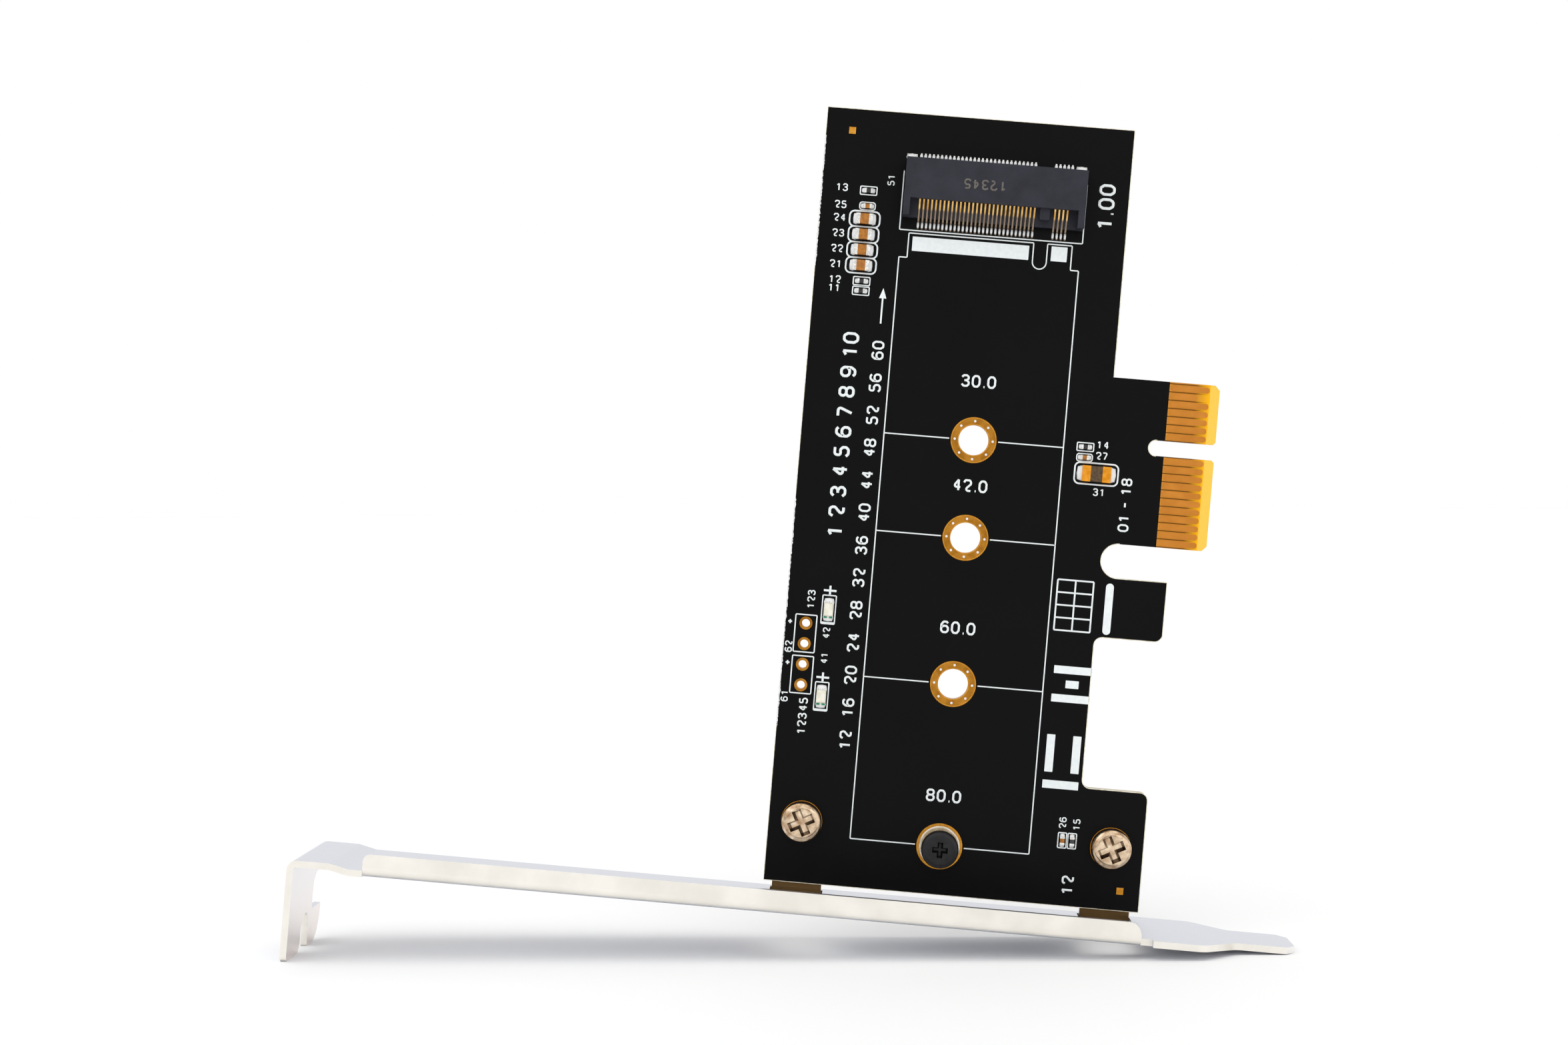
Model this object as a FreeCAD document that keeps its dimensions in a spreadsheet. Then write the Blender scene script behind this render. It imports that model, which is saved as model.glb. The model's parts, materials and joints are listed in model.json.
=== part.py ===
"""Adapter card: a storage module lies flat on the board, held by a socket and one screw, and the
board plugs into a single-lane slot.  A folded steel bracket closes the slot in the computer's rear.

Axes: +X along the bracket towards its tongue, +Y from the component side to the solder side, +Z from
the bracket up across the board.  The origin is the middle of the bounding box's base.
Every sub-part but the bracket and the small chips is drawn from the card datum, the centre of the
last module hole on the component face: u runs along X, w along Z, and y is zero on that face.
"""
import FreeCAD, Part
import math
import os
import Sketcher

DIMENSIONS = (
    # bracket, drawn from its own corner: tab face, flange face, outer face of the plate
    ("bracket_length", 120.02), ("bracket_width", 18.42), ("sheet_gauge", 0.80), ("overrun", 1.00),
    ("tab_drop", 11.43), ("joggle_depth", 0.50), ("joggle_start", 5.10), ("joggle_end", 7.30),
    ("bend_inside", 0.40), ("joggle_blend", 1.50),
    ("flange_start", 9.00), ("flange_end", 101.25), ("flange_height", 2.80), ("flange_relief", 1.45),
    ("flange_end_blend", 1.60), ("flange_start_blend", 0.90),
    ("taper_start", 108.70), ("taper_end", 112.90), ("tongue_front", 4.20), ("tongue_back", 13.80),
    ("tip_chamfer_long", 1.70), ("tip_chamfer_short", 1.15), ("taper_blend", 2.00),
    ("notch_centre", 9.60), ("notch_width", 4.30), ("notch_depth", 4.53),
    ("neck_width", 13.20), ("neck_top", -2.00), ("ear_top", -6.40), ("neck_blend", 2.10),
    ("tab_front_blend", 1.00), ("tab_notch_blend", 1.40), ("ear_blend", 4.00), ("ear_inner_blend", 0.50),
    ("lug_width", 6.10), ("lug_top", 12.90), ("lug_blend", 1.50), ("lug_hole", 1.50),
    ("window_front", 4.40), ("window_clearance", 0.20), ("edge_gap", 1.10),
    # circuit board, from the card datum
    ("datum_from_middle", 17.19), ("datum_from_front", 14.28),
    ("board_thickness", 1.60), ("board_left", -21.20), ("board_right", 24.90),
    ("board_bottom", -6.00), ("board_top", 89.30), ("board_upper_right", 16.45),
    ("leg_top", 8.70), ("neck_right", 16.75), ("hook_bottom", 27.20), ("hook_right", 25.00),
    ("edge_bottom", 38.78), ("edge_top", 59.07), ("edge_right", 29.45),
    ("recess_centre", 36.69), ("recess_width", 4.18), ("recess_end", 16.74),
    ("key_centre", 50.87), ("key_width", 1.90), ("key_end", 21.35),
    ("corner_blend", 1.00), ("bevel_length", 1.20), ("bevel_depth", 0.44), ("edge_chamfer", 0.60),
    ("copper", 0.05), ("plating_wall", 0.16),
    ("module_hole", 1.85), ("module_ring", 2.82), ("screw_hole", 1.60), ("screw_ring", 2.53),
    ("header_hole", 0.50), ("header_ring", 0.80), ("header_u", -18.60), ("header_pitch", 2.54),
    ("header_top", 25.92), ("screw_left", -17.10), ("screw_right", 20.90), ("screw_w", 1.60),
    ("module_hole_30", 50.00), ("module_hole_42", 38.00), ("module_hole_60", 20.00),
    ("module_hole_80", 0.00),
    ("fiducial_size", 0.83),
    ("finger_pitch", 1.00), ("finger_width", 0.70), ("finger_inner", 23.50), ("finger_outer", 28.15),
    ("finger_short", 26.60), ("finger_corner", 0.20), ("finger_lowest", 39.37),
    ("finger_upper_lowest", 52.37),
    # module socket
    ("socket_half", 11.00), ("socket_front", 76.50), ("socket_back", 83.50), ("socket_height", 4.10),
    ("socket_standoff", 0.14), ("socket_arm", 0.80), ("roof_front", 78.60), ("mouth_back", 81.20),
    ("mouth_floor", 1.35), ("mouth_roof", 3.05), ("key_post_u", 6.20), ("key_post_width", 1.17),
    ("key_post_front", 77.25), ("contact_pitch", 0.50), ("contact_width", 0.20), ("contact_slot", 0.30),
    ("contact_gauge", 0.12), ("lower_first", -9.00), ("lower_resume", 7.50), ("upper_first", -9.25),
    ("upper_resume", 7.25), ("hold_down_u", 10.37), ("hold_down_width", 1.25), ("hold_down_gauge", 0.20),
    ("hold_down_foot", 0.80), ("hold_down_height", 1.40), ("slot_sink", 0.10), ("slot_stop", 0.30),
    ("slot_front_wall", 0.35), ("slot_rise", 0.45), ("slot_back_wall", 0.70), ("slot_drop", 0.45),
    # fasteners
    ("head_radius", 2.50), ("head_height", 1.85), ("shank_radius", 1.38), ("shank_past_lug", 0.90),
    ("head_blend", 0.80), ("recess_reach", 1.62), ("recess_half", 0.58), ("recess_depth", 1.20),
    ("recess_taper", 14.0), ("recess_turn", 27.0),
    ("standoff_radius", 2.15), ("standoff_height", 2.50), ("stud_radius", 1.75), ("stud_past_nut", 0.35),
    ("standoff_bore", 1.05), ("standoff_bore_depth", 3.20), ("module_head_radius", 2.28),
    ("module_head_height", 1.45), ("module_head_blend", 0.55), ("module_shank_radius", 1.00),
    ("module_shank_length", 2.60), ("module_recess_reach", 0.95), ("module_recess_half", 0.34),
    ("module_recess_depth", 0.80),
    ("nut_across_flats", 5.00), ("nut_thickness", 1.30), ("nut_bore", 1.80),
    # chip sizes: length between the ends, width, height, length of each end cap
    ("large_chip_length", 2.00), ("large_chip_width", 1.25), ("large_chip_height", 0.90),
    ("large_chip_cap", 0.46), ("small_chip_length", 1.00), ("small_chip_width", 0.52),
    ("small_chip_height", 0.42), ("small_chip_cap", 0.24), ("fuse_chip_length", 3.50),
    ("fuse_chip_width", 1.90), ("fuse_chip_height", 0.75), ("fuse_chip_cap", 1.03),
    ("cap_proud", 0.02), ("chip_gap", 0.03),
    ("led_length", 2.00), ("led_width", 1.20), ("led_base_height", 0.35), ("led_lens_length", 1.60),
    ("led_lens_height", 0.75), ("led_lens_blend", 0.25), ("led_cap", 0.20),
)

# where the small parts stand, as (u, w) from the card datum
PLACES = {
    "resistor_socket": (-15.35, 79.40), "capacitor_socket": (-15.34, 77.50),
    "capacitor_bulk_1": (-15.55, 75.90), "capacitor_bulk_2": (-15.55, 74.00),
    "capacitor_bulk_3": (-15.55, 72.10), "capacitor_bulk_4": (-15.55, 70.20),
    "resistor_led_1": (-15.30, 68.30), "resistor_led_2": (-15.30, 67.10),
    "resistor_edge": (13.67, 50.30), "capacitor_edge": (13.67, 49.00), "supply_fuse": (15.26, 47.10),
    "capacitor_lower": (14.90, 2.05), "resistor_lower": (16.10, 2.05),
    "led_upper": (-15.96, 27.80), "led_lower": (-15.98, 17.10),
    "fiducial_upper": (-17.94, 86.60), "fiducial_lower": (22.44, -3.55),
}
LARGE_CHIPS = ("capacitor_bulk_1", "capacitor_bulk_2", "capacitor_bulk_3", "capacitor_bulk_4")
SMALL_CHIPS = ("resistor_socket", "capacitor_socket", "resistor_led_1", "resistor_led_2",
               "resistor_edge", "capacitor_edge")
UPRIGHT_CHIPS = ("capacitor_lower", "resistor_lower")
LEDS = ("led_upper", "led_lower")
FIDUCIALS = ("fiducial_upper", "fiducial_lower")
MODULE_HOLES = ("30", "42", "60", "80")
HEADER_HOLES = 4

# edge fingers in rows: how many, where the lowest one lies, and where they end
FRONT_FINGERS = (
    (11, "Dims.finger_lowest", "Dims.finger_outer"),
    (5, "Dims.finger_upper_lowest", "Dims.finger_outer"),
    (1, "Dims.finger_upper_lowest + 5 * Dims.finger_pitch", "Dims.finger_short"),
    (1, "Dims.finger_upper_lowest + 6 * Dims.finger_pitch", "Dims.finger_outer"),
)
REAR_FINGERS = (
    (11, "Dims.finger_lowest", "Dims.finger_outer"),
    (1, "Dims.finger_upper_lowest", "Dims.finger_short"),
    (6, "Dims.finger_upper_lowest + Dims.finger_pitch", "Dims.finger_outer"),
)

# spring contacts: how many stand on each side of the key, and the strip's middle line as
# (height over the board, w past the housing's front or back)
CONTACTS_LOWER, CONTACTS_UPPER = (29, 4), (29, 5)
LOWER_PATH = ((0.06, -1.30), (0.06, -0.35), (0.75, 0.55), (1.30, 1.40), (1.57, 2.40), (1.40, 3.35),
              (0.95, 4.05))
UPPER_PATH = ((0.06, 0.95), (0.06, -0.92), (3.27, -0.92), (3.27, -2.60), (2.85, -3.75), (3.15, -4.40))

doc = FreeCAD.newDocument("adapter_card")
sheet = doc.addObject("Spreadsheet::Sheet", "Dims")
cells = list(DIMENSIONS)
for place_name, (place_u, place_w) in PLACES.items():
    cells += [(f"{place_name}_u", place_u), (f"{place_name}_w", place_w)]
for row, (alias, value) in enumerate(cells, start=1):
    sheet.set(f"A{row}", alias)
    sheet.set(f"B{row}", str(value))
    sheet.setAlias(f"B{row}", alias)
doc.recompute()

DATUM = {
    "x": "Dims.datum_from_middle",
    "y": "Dims.datum_from_front - Dims.bracket_width / 2",
    "z": "Dims.tab_drop - Dims.joggle_depth + Dims.sheet_gauge + Dims.edge_gap - Dims.board_bottom",
}
CORNER = {
    "x": "-Dims.bracket_length / 2",
    "y": "-Dims.bracket_width / 2",
    "z": "Dims.tab_drop - Dims.joggle_depth",
}
subparts = []


# ------------------------------------------------------------------ helpers
def value_of(text):
    """The number that an expression over the sheet gives."""
    result = sheet.evalExpression(str(text))
    return float(getattr(result, "Value", result))


def place(item, origin, **shift):
    """Bind an object's position to an origin, shifted along any axis."""
    for axis in "xyz":
        item.setExpression(f"Placement.Base.{axis}", f"{origin[axis]} + ({shift.get(axis, 0)})")


def new_body(name, origin=DATUM, **shift):
    """A sub-part of its own, named after its file."""
    body = doc.addObject("PartDesign::Body", name)
    body.Label = name
    place(body, origin, **shift)
    subparts.append(body)
    return body


def new_sketch(body, plane, offset="0"):
    """A sketch on one of the body's own planes, lifted along the plane's normal."""
    sketch = body.newObject("Sketcher::SketchObject", f"{body.Name}_sketch")
    face = next(item for item in body.Origin.OriginFeatures if item.Role == f"{plane}_Plane")
    sketch.AttachmentSupport = (face, [""])
    sketch.MapMode = "FlatFace"
    sketch.setExpression("AttachmentOffset.Base.z", offset)
    return sketch


def bind(sketch, text, kind, *elements):
    """A sketch constraint whose size is an expression."""
    number = sketch.addConstraint(Sketcher.Constraint(kind, *elements, value_of(text)))
    sketch.setExpression(f"Constraints[{number}]", str(text))


def fix_point(sketch, element, point, across, up):
    """Hold a point of the sketch at two expressions, measured from the origin."""
    bind(sketch, across, "DistanceX", -1, 1, element, point)
    bind(sketch, up, "DistanceY", -1, 1, element, point)


def draw_outline(sketch, corners):
    """A closed run of straight lines through corners given as pairs of expressions."""
    points = [FreeCAD.Vector(value_of(across), value_of(up), 0) for across, up in corners]
    first, count = sketch.GeometryCount, len(points)
    for index, point in enumerate(points):
        sketch.addGeometry(Part.LineSegment(point, points[(index + 1) % count]), False)
    for index, (across, up) in enumerate(corners):
        following = first + (index + 1) % count
        sketch.addConstraint(Sketcher.Constraint("Coincident", first + index, 2, following, 1))
        fix_point(sketch, first + index, 1, across, up)
    return sketch


def draw_box(sketch, left, right, low, high):
    """A rectangle between four expressions."""
    return draw_outline(sketch, ((left, low), (right, low), (right, high), (left, high)))


def draw_circle(sketch, across, up, radius):
    """A circle whose centre and radius are expressions."""
    centre = FreeCAD.Vector(value_of(across), value_of(up), 0)
    element = sketch.addGeometry(
        Part.Circle(centre, FreeCAD.Vector(0, 0, 1), value_of(radius)), False)
    fix_point(sketch, element, 3, across, up)
    bind(sketch, radius, "Radius", element)
    return sketch


def feature(body, kind, sketch, length="", backwards=False, both=False, through=False, taper=""):
    """A pad or pocket of the sketch, checked to have changed the solid."""
    before = body.Shape.Volume if body.Tip else 0.0
    item = body.newObject(f"PartDesign::{kind}", f"{body.Name}_{kind.lower()}")
    item.Profile = sketch
    item.Reversed = backwards
    item.Midplane = both
    if through:
        item.Type = "ThroughAll"
    else:
        item.setExpression("Length", length)
    if taper:
        item.setExpression("TaperAngle", f"-{taper}")
    body.Tip = item
    doc.recompute()
    if abs(item.Shape.Volume - before) < 1e-6:
        raise RuntimeError(f"{item.Name} changed nothing")
    return item


def pad(body, sketch, length, **options):
    """Add the sketch's area, grown along its normal."""
    return feature(body, "Pad", sketch, length, **options)


def pocket(body, sketch, length="", **options):
    """Take the sketch's area away, against its normal."""
    return feature(body, "Pocket", sketch, length, **options)


def spin(body, sketch):
    """Turn a half section about the sketch's upright axis."""
    item = body.newObject("PartDesign::Revolution", f"{body.Name}_turned")
    item.Profile = sketch
    item.ReferenceAxis = (sketch, ["V_Axis"])
    item.Angle = 360
    body.Tip = item
    doc.recompute()
    return item


def repeat(body, original, sketch, axis, count, pitch):
    """Copy a feature along a sketch axis."""
    item = body.newObject("PartDesign::LinearPattern", f"{original.Name}_row")
    item.Originals = [original]
    item.Direction = (sketch, [axis])
    item.Occurrences = count
    item.setExpression("Length", f"{count - 1} * {pitch}")
    body.Tip = item
    doc.recompute()
    return item


def edges_where(shape, test):
    """Names of the edges whose ends all pass a test; a full circle has a single end."""
    names = []
    for number, edge in enumerate(shape.Edges, start=1):
        ends = [vertex.Point for vertex in edge.Vertexes]
        if ends and all(test(point) for point in ends):
            names.append(f"Edge{number}")
    return names


def near(*pairs):
    """A test that a coordinate has one of its expected values."""
    def test(point):
        return all(abs(getattr(point, axis) - value_of(text)) < 1e-3 for axis, text in pairs)
    return test


def blend(body, radius, *tests):
    """Round the edges that any of the tests picks out."""
    base = body.Tip
    names = [name for test in tests for name in edges_where(base.Shape, test)]
    if not names:
        raise RuntimeError(f"{body.Name} has no such edge to round")
    item = body.newObject("PartDesign::Fillet", f"{body.Name}_blend")
    item.Base = (base, names)
    item.setExpression("Radius", radius)
    body.Tip = item
    doc.recompute()
    return item


# ------------------------------------------------------------------ circuit board
def circuit_board():
    """The laminate: notched outline, bevelled plug edge, drilled holes."""
    body = new_body("circuit_board")
    outline = new_sketch(body, "XZ")
    draw_outline(outline, (
        ("Dims.board_left", "Dims.board_bottom"), ("Dims.board_right", "Dims.board_bottom"),
        ("Dims.board_right", "Dims.leg_top"), ("Dims.neck_right", "Dims.leg_top"),
        ("Dims.neck_right", "Dims.hook_bottom"), ("Dims.hook_right", "Dims.hook_bottom"),
        ("Dims.hook_right", "Dims.recess_centre"), ("Dims.edge_right", "Dims.recess_centre"),
        ("Dims.edge_right", "Dims.edge_top"), ("Dims.board_upper_right", "Dims.edge_top"),
        ("Dims.board_upper_right", "Dims.board_top"), ("Dims.board_left", "Dims.board_top")))
    pad(body, outline, "Dims.board_thickness", backwards=True)

    for centre, width, end in (
            ("Dims.recess_centre", "Dims.recess_width", "Dims.recess_end"),
            ("Dims.key_centre", "Dims.key_width", "Dims.key_end")):
        middle = f"{end} + {width} / 2"
        routed = new_sketch(body, "XZ")
        draw_box(routed, middle, "Dims.edge_right + Dims.overrun",
                 f"{centre} - {width} / 2", f"{centre} + {width} / 2")
        pocket(body, routed, through=True, both=True)
        drilled = draw_circle(new_sketch(body, "XZ"), middle, centre, f"{width} / 2")
        pocket(body, drilled, through=True, both=True)

    bevel = new_sketch(body, "XY")
    inner = "Dims.edge_right - Dims.bevel_length"
    draw_outline(bevel, ((inner, "0"), ("Dims.edge_right", "0"),
                         ("Dims.edge_right", "Dims.bevel_depth")))
    draw_outline(bevel, (
        (inner, "Dims.board_thickness"), ("Dims.edge_right", "Dims.board_thickness"),
        ("Dims.edge_right", "Dims.board_thickness - Dims.bevel_depth")))
    pocket(body, bevel, through=True, both=True)

    corners = new_sketch(body, "XZ")
    tip, cut = "Dims.edge_right", "Dims.edge_chamfer"
    for level, way in (("Dims.edge_top", "-"),
                       ("Dims.recess_centre + Dims.recess_width / 2", "+")):
        draw_outline(corners, ((f"{tip} - {cut}", level), (tip, level), (tip, f"{level} {way} {cut}")))
    for way in "-+":
        level = f"Dims.key_centre {way} Dims.key_width / 2"
        draw_outline(corners, ((f"{tip} - {cut} / 2", level), (tip, level),
                               (tip, f"{level} {way} {cut} / 2")))
    pocket(body, corners, through=True, both=True)

    holes = new_sketch(body, "XZ")
    for size in MODULE_HOLES:
        draw_circle(holes, "0", f"Dims.module_hole_{size}", "Dims.module_hole + Dims.plating_wall")
    for across in ("Dims.screw_left", "Dims.screw_right"):
        draw_circle(holes, across, "Dims.screw_w", "Dims.screw_hole + Dims.plating_wall")
    for number in range(HEADER_HOLES):
        draw_circle(holes, "Dims.header_u", f"Dims.header_top - {number} * Dims.header_pitch",
                    "Dims.header_hole + Dims.plating_wall")
    pocket(body, holes, through=True, both=True)

    blend(body, "Dims.corner_blend",
          near(("x", "Dims.board_right"), ("z", "Dims.leg_top")),
          near(("x", "Dims.neck_right"), ("z", "Dims.leg_top")),
          near(("x", "Dims.neck_right"), ("z", "Dims.hook_bottom")),
          near(("x", "Dims.hook_right"), ("z", "Dims.hook_bottom")))


def plated_hole(name, across, level, hole, ring):
    """Metal through a hole: a tube with a flat ring on each face."""
    body = new_body(name, x=across, z=level)
    front, rear = "-Dims.copper", "Dims.board_thickness + Dims.copper"
    drilled, wall = f"{hole} + Dims.plating_wall", "Dims.board_thickness"
    section = new_sketch(body, "XY")
    draw_outline(section, (
        (hole, front), (ring, front), (ring, "0"), (drilled, "0"),
        (drilled, wall), (ring, wall), (ring, rear), (hole, rear)))
    spin(body, section)


def edge_fingers(name, rows, face):
    """Gold pads that slide into the slot's contacts; one stands back to sense the plug."""
    body = new_body(name, y=face)
    for count, lowest, outer in rows:
        low, high = f"{lowest} - Dims.finger_width / 2", f"{lowest} + Dims.finger_width / 2"
        inner, cut = "Dims.finger_inner", "Dims.finger_corner"
        outline = draw_outline(new_sketch(body, "XZ"), (
            (f"{inner} + {cut}", low), (f"{outer} - {cut}", low), (outer, f"{low} + {cut}"),
            (outer, f"{high} - {cut}"), (f"{outer} - {cut}", high), (f"{inner} + {cut}", high),
            (inner, f"{high} - {cut}"), (inner, f"{low} + {cut}")))
        finger = pad(body, outline, "Dims.copper")
        if count > 1:
            repeat(body, finger, outline, "V_Axis", count, "Dims.finger_pitch")


def fiducial(name):
    """A square of bare gold that the placing machine aligns to."""
    body = new_body(name, x=f"Dims.{name}_u", z=f"Dims.{name}_w")
    half = "Dims.fiducial_size / 2"
    mark = draw_box(new_sketch(body, "XZ"), f"-{half}", half, f"-{half}", half)
    pad(body, mark, "Dims.copper")


# ------------------------------------------------------------------ module socket
def socket_housing():
    """Moulded housing: roof, floor, two arms, a key post and a comb of contact slots."""
    body = new_body("socket_housing")
    block = new_sketch(body, "XZ", "Dims.socket_standoff")
    draw_box(block, "-Dims.socket_half", "Dims.socket_half", "Dims.socket_front", "Dims.socket_back")
    pad(body, block, "Dims.socket_height - Dims.socket_standoff")

    mouth = new_sketch(body, "YZ")
    above, before = "-Dims.socket_height - Dims.overrun", "Dims.socket_front - Dims.overrun"
    draw_outline(mouth, (
        (above, before), ("-Dims.mouth_floor", before), ("-Dims.mouth_floor", "Dims.mouth_back"),
        ("-Dims.mouth_roof", "Dims.mouth_back"), ("-Dims.mouth_roof", "Dims.roof_front"),
        (above, "Dims.roof_front")))
    pocket(body, mouth, "2 * (Dims.socket_half - Dims.socket_arm)", both=True)

    post = new_sketch(body, "XZ", "Dims.mouth_floor")
    draw_box(post, "Dims.key_post_u - Dims.key_post_width / 2",
             "Dims.key_post_u + Dims.key_post_width / 2", "Dims.key_post_front", "Dims.mouth_back")
    pad(body, post, "Dims.mouth_roof - Dims.mouth_floor")

    sunk, stop = "-Dims.mouth_floor - Dims.slot_sink", "Dims.mouth_back - Dims.slot_stop"
    lower_slot = (("0", before), (sunk, before), (sunk, stop), ("0", stop))
    under, over = "-Dims.mouth_roof + Dims.slot_sink", "-Dims.mouth_roof - Dims.slot_rise"
    rear, drop = "Dims.socket_back - Dims.slot_back_wall", "Dims.slot_drop"
    upper_slot = (
        (under, "Dims.roof_front + Dims.slot_front_wall"), (over, "Dims.roof_front + Dims.slot_front_wall"),
        (over, rear), ("0", rear), ("0", f"{rear} - {drop}"), (under, f"{rear} - {drop}"))
    for section, first, resume, counts in (
            (lower_slot, "Dims.lower_first", "Dims.lower_resume", CONTACTS_LOWER),
            (upper_slot, "Dims.upper_first", "Dims.upper_resume", CONTACTS_UPPER)):
        for start, count in zip((first, resume), counts):
            slot = new_sketch(body, "YZ", start)
            draw_outline(slot, section)
            cut = pocket(body, slot, "Dims.contact_slot", both=True)
            repeat(body, cut, slot, "N_Axis", count, "Dims.contact_pitch")


def strip_section(path, edge):
    """Outline of a strip of the contact's gauge along a middle line of (height, w past an edge)."""
    half, start = value_of("Dims.contact_gauge") / 2, value_of(edge)
    line = [FreeCAD.Vector(height, start + past, 0) for height, past in path]
    turns = [(ahead - here).normalize() for here, ahead in zip(line, line[1:])]
    arriving, leaving = turns[:1] + turns, turns + turns[-1:]
    near_side, far_side = [], []
    for here, before, after in zip(line, arriving, leaving):
        mitre = FreeCAD.Vector(-before.y - after.y, before.x + after.x, 0).normalize()
        reach = half / mitre.dot(FreeCAD.Vector(-before.y, before.x, 0))
        near_side.append(here + mitre * reach)
        far_side.insert(0, here - mitre * reach)
    return [(f"{-point.x:.4f}", f"{point.y:.4f}") for point in near_side + far_side]


def socket_contacts(name, path, edge, starts, counts):
    """A row of formed spring contacts, each a bent strip that ends in a solder foot."""
    body = new_body(name)
    for start, count in zip(starts, counts):
        section = draw_outline(new_sketch(body, "YZ", start), strip_section(path, edge))
        strip = pad(body, section, "Dims.contact_width", both=True)
        repeat(body, strip, section, "N_Axis", count, "Dims.contact_pitch")


def hold_down(name, side):
    """Soldered metal foot that keeps one rear corner of the housing on the board."""
    body = new_body(name, x=f"{side} * Dims.hold_down_u")
    gauge, back = "Dims.hold_down_gauge", "Dims.socket_back"
    foot, high = f"{back} + Dims.hold_down_foot", "-Dims.hold_down_height"
    section = new_sketch(body, "YZ")
    draw_outline(section, (
        ("0", back), ("0", foot), (f"-{gauge}", foot), (f"-{gauge}", f"{back} + {gauge}"),
        (high, f"{back} + {gauge}"), (high, back)))
    pad(body, section, "Dims.hold_down_width", both=True)


# ------------------------------------------------------------------ bracket
def bracket():
    """One folded sheet: screw tab, joggle, flanged plate, two board lugs and the tongue."""
    body = new_body("bracket", CORNER)
    gauge, rise = "Dims.sheet_gauge", "Dims.joggle_depth"
    end = "Dims.bracket_length"
    side = new_sketch(body, "XZ")
    draw_outline(side, (
        ("0", f"{rise} - Dims.tab_drop"), (gauge, f"{rise} - Dims.tab_drop"), (gauge, rise),
        ("Dims.joggle_start", rise), ("Dims.joggle_end", "0"), (end, "0"), (end, gauge),
        ("Dims.joggle_end", gauge), ("Dims.joggle_start", f"{rise} + {gauge}"), ("0", f"{rise} + {gauge}")))
    pad(body, side, "Dims.bracket_width", backwards=True)
    blend(body, "Dims.bend_inside", near(("x", gauge), ("z", rise)))
    blend(body, f"Dims.bend_inside + {gauge}", near(("x", "0"), ("z", f"{rise} + {gauge}")))
    blend(body, "Dims.joggle_blend",
          near(("x", "Dims.joggle_start"), ("z", rise)),
          near(("x", "Dims.joggle_end"), ("z", "0")),
          near(("x", "Dims.joggle_end"), ("z", gauge)),
          near(("x", "Dims.joggle_start"), ("z", f"{rise} + {gauge}")))
    cut_tab(body)
    cut_plate(body)
    fold_flange(body)
    fold_lugs(body)


def cut_tab(body):
    """Screw notch open at the tab's end, and the neck that clears the next bracket's ear."""
    low = "Dims.joggle_depth - Dims.tab_drop"
    half = "Dims.notch_width / 2"
    top = f"{low} + Dims.notch_depth - {half}"
    reach = "4 * Dims.sheet_gauge"
    notch = new_sketch(body, "YZ")
    draw_box(notch, f"Dims.notch_centre - {half}", f"Dims.notch_centre + {half}",
             f"{low} - Dims.overrun", top)
    pocket(body, notch, reach, both=True)
    pocket(body, draw_circle(new_sketch(body, "YZ"), "Dims.notch_centre", top, half), reach, both=True)
    neck = new_sketch(body, "YZ")
    draw_box(neck, "Dims.neck_width", "Dims.bracket_width + Dims.overrun", "Dims.ear_top", "Dims.neck_top")
    pocket(body, neck, reach, both=True)
    blend(body, "Dims.tab_front_blend", near(("y", "0"), ("z", low)))
    blend(body, "Dims.tab_notch_blend", near(("y", f"Dims.notch_centre - {half}"), ("z", low)))
    blend(body, "Dims.ear_inner_blend", near(("y", f"Dims.notch_centre + {half}"), ("z", low)))
    blend(body, "Dims.ear_blend", near(("y", "Dims.bracket_width"), ("z", low)))
    blend(body, "Dims.neck_blend", near(("y", "Dims.neck_width"), ("z", "Dims.neck_top")))


def cut_plate(body):
    """Blank the tongue's tapers, the flange's strip and the two windows left by the lugs."""
    tip, wide = "Dims.bracket_length", "Dims.bracket_width"
    reach = "4 * Dims.sheet_gauge"
    flats = new_sketch(body, "XY")
    for edge, inner, way in (("0", "Dims.tongue_front", "+"), (wide, "Dims.tongue_back", "-")):
        beyond, past_tip = f"{edge} - ({way}Dims.overrun)", f"{tip} + Dims.overrun"
        draw_outline(flats, (
            ("Dims.taper_start", edge), ("Dims.taper_end", inner),
            (f"{tip} - Dims.tip_chamfer_short", inner),
            (tip, f"{inner} {way} Dims.tip_chamfer_long"),
            (past_tip, f"{inner} {way} Dims.tip_chamfer_long"),
            (past_tip, beyond), ("Dims.taper_start", beyond)))
    pocket(body, flats, reach, both=True)
    for edge, inner in (("0", "Dims.tongue_front"), (wide, "Dims.tongue_back")):
        blend(body, "Dims.taper_blend", near(("x", "Dims.taper_start"), ("y", edge)),
              near(("x", "Dims.taper_end"), ("y", inner)))

    strip = new_sketch(body, "XY")
    draw_box(strip, "Dims.flange_start", "Dims.flange_end + Dims.flange_relief", "-Dims.overrun",
             "Dims.bend_inside + Dims.sheet_gauge")
    pocket(body, strip, reach, both=True)

    windows = new_sketch(body, "XY")
    half = "Dims.lug_width / 2 + Dims.window_clearance"
    for middle in lug_middles():
        draw_box(windows, f"{middle} - ({half})", f"{middle} + ({half})", "Dims.window_front", lug_bend())
    pocket(body, windows, reach, both=True)


def lug_middles():
    """Where the two lugs stand along the bracket: behind the board's screw holes."""
    shift = "Dims.bracket_length / 2 + Dims.datum_from_middle"
    return [f"{shift} + {hole}" for hole in ("Dims.screw_left", "Dims.screw_right")]


def lug_bend():
    """Line along the plate where the lugs' bends end."""
    return ("Dims.datum_from_front + Dims.board_thickness + Dims.copper"
            " + Dims.bend_inside + Dims.sheet_gauge")


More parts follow.
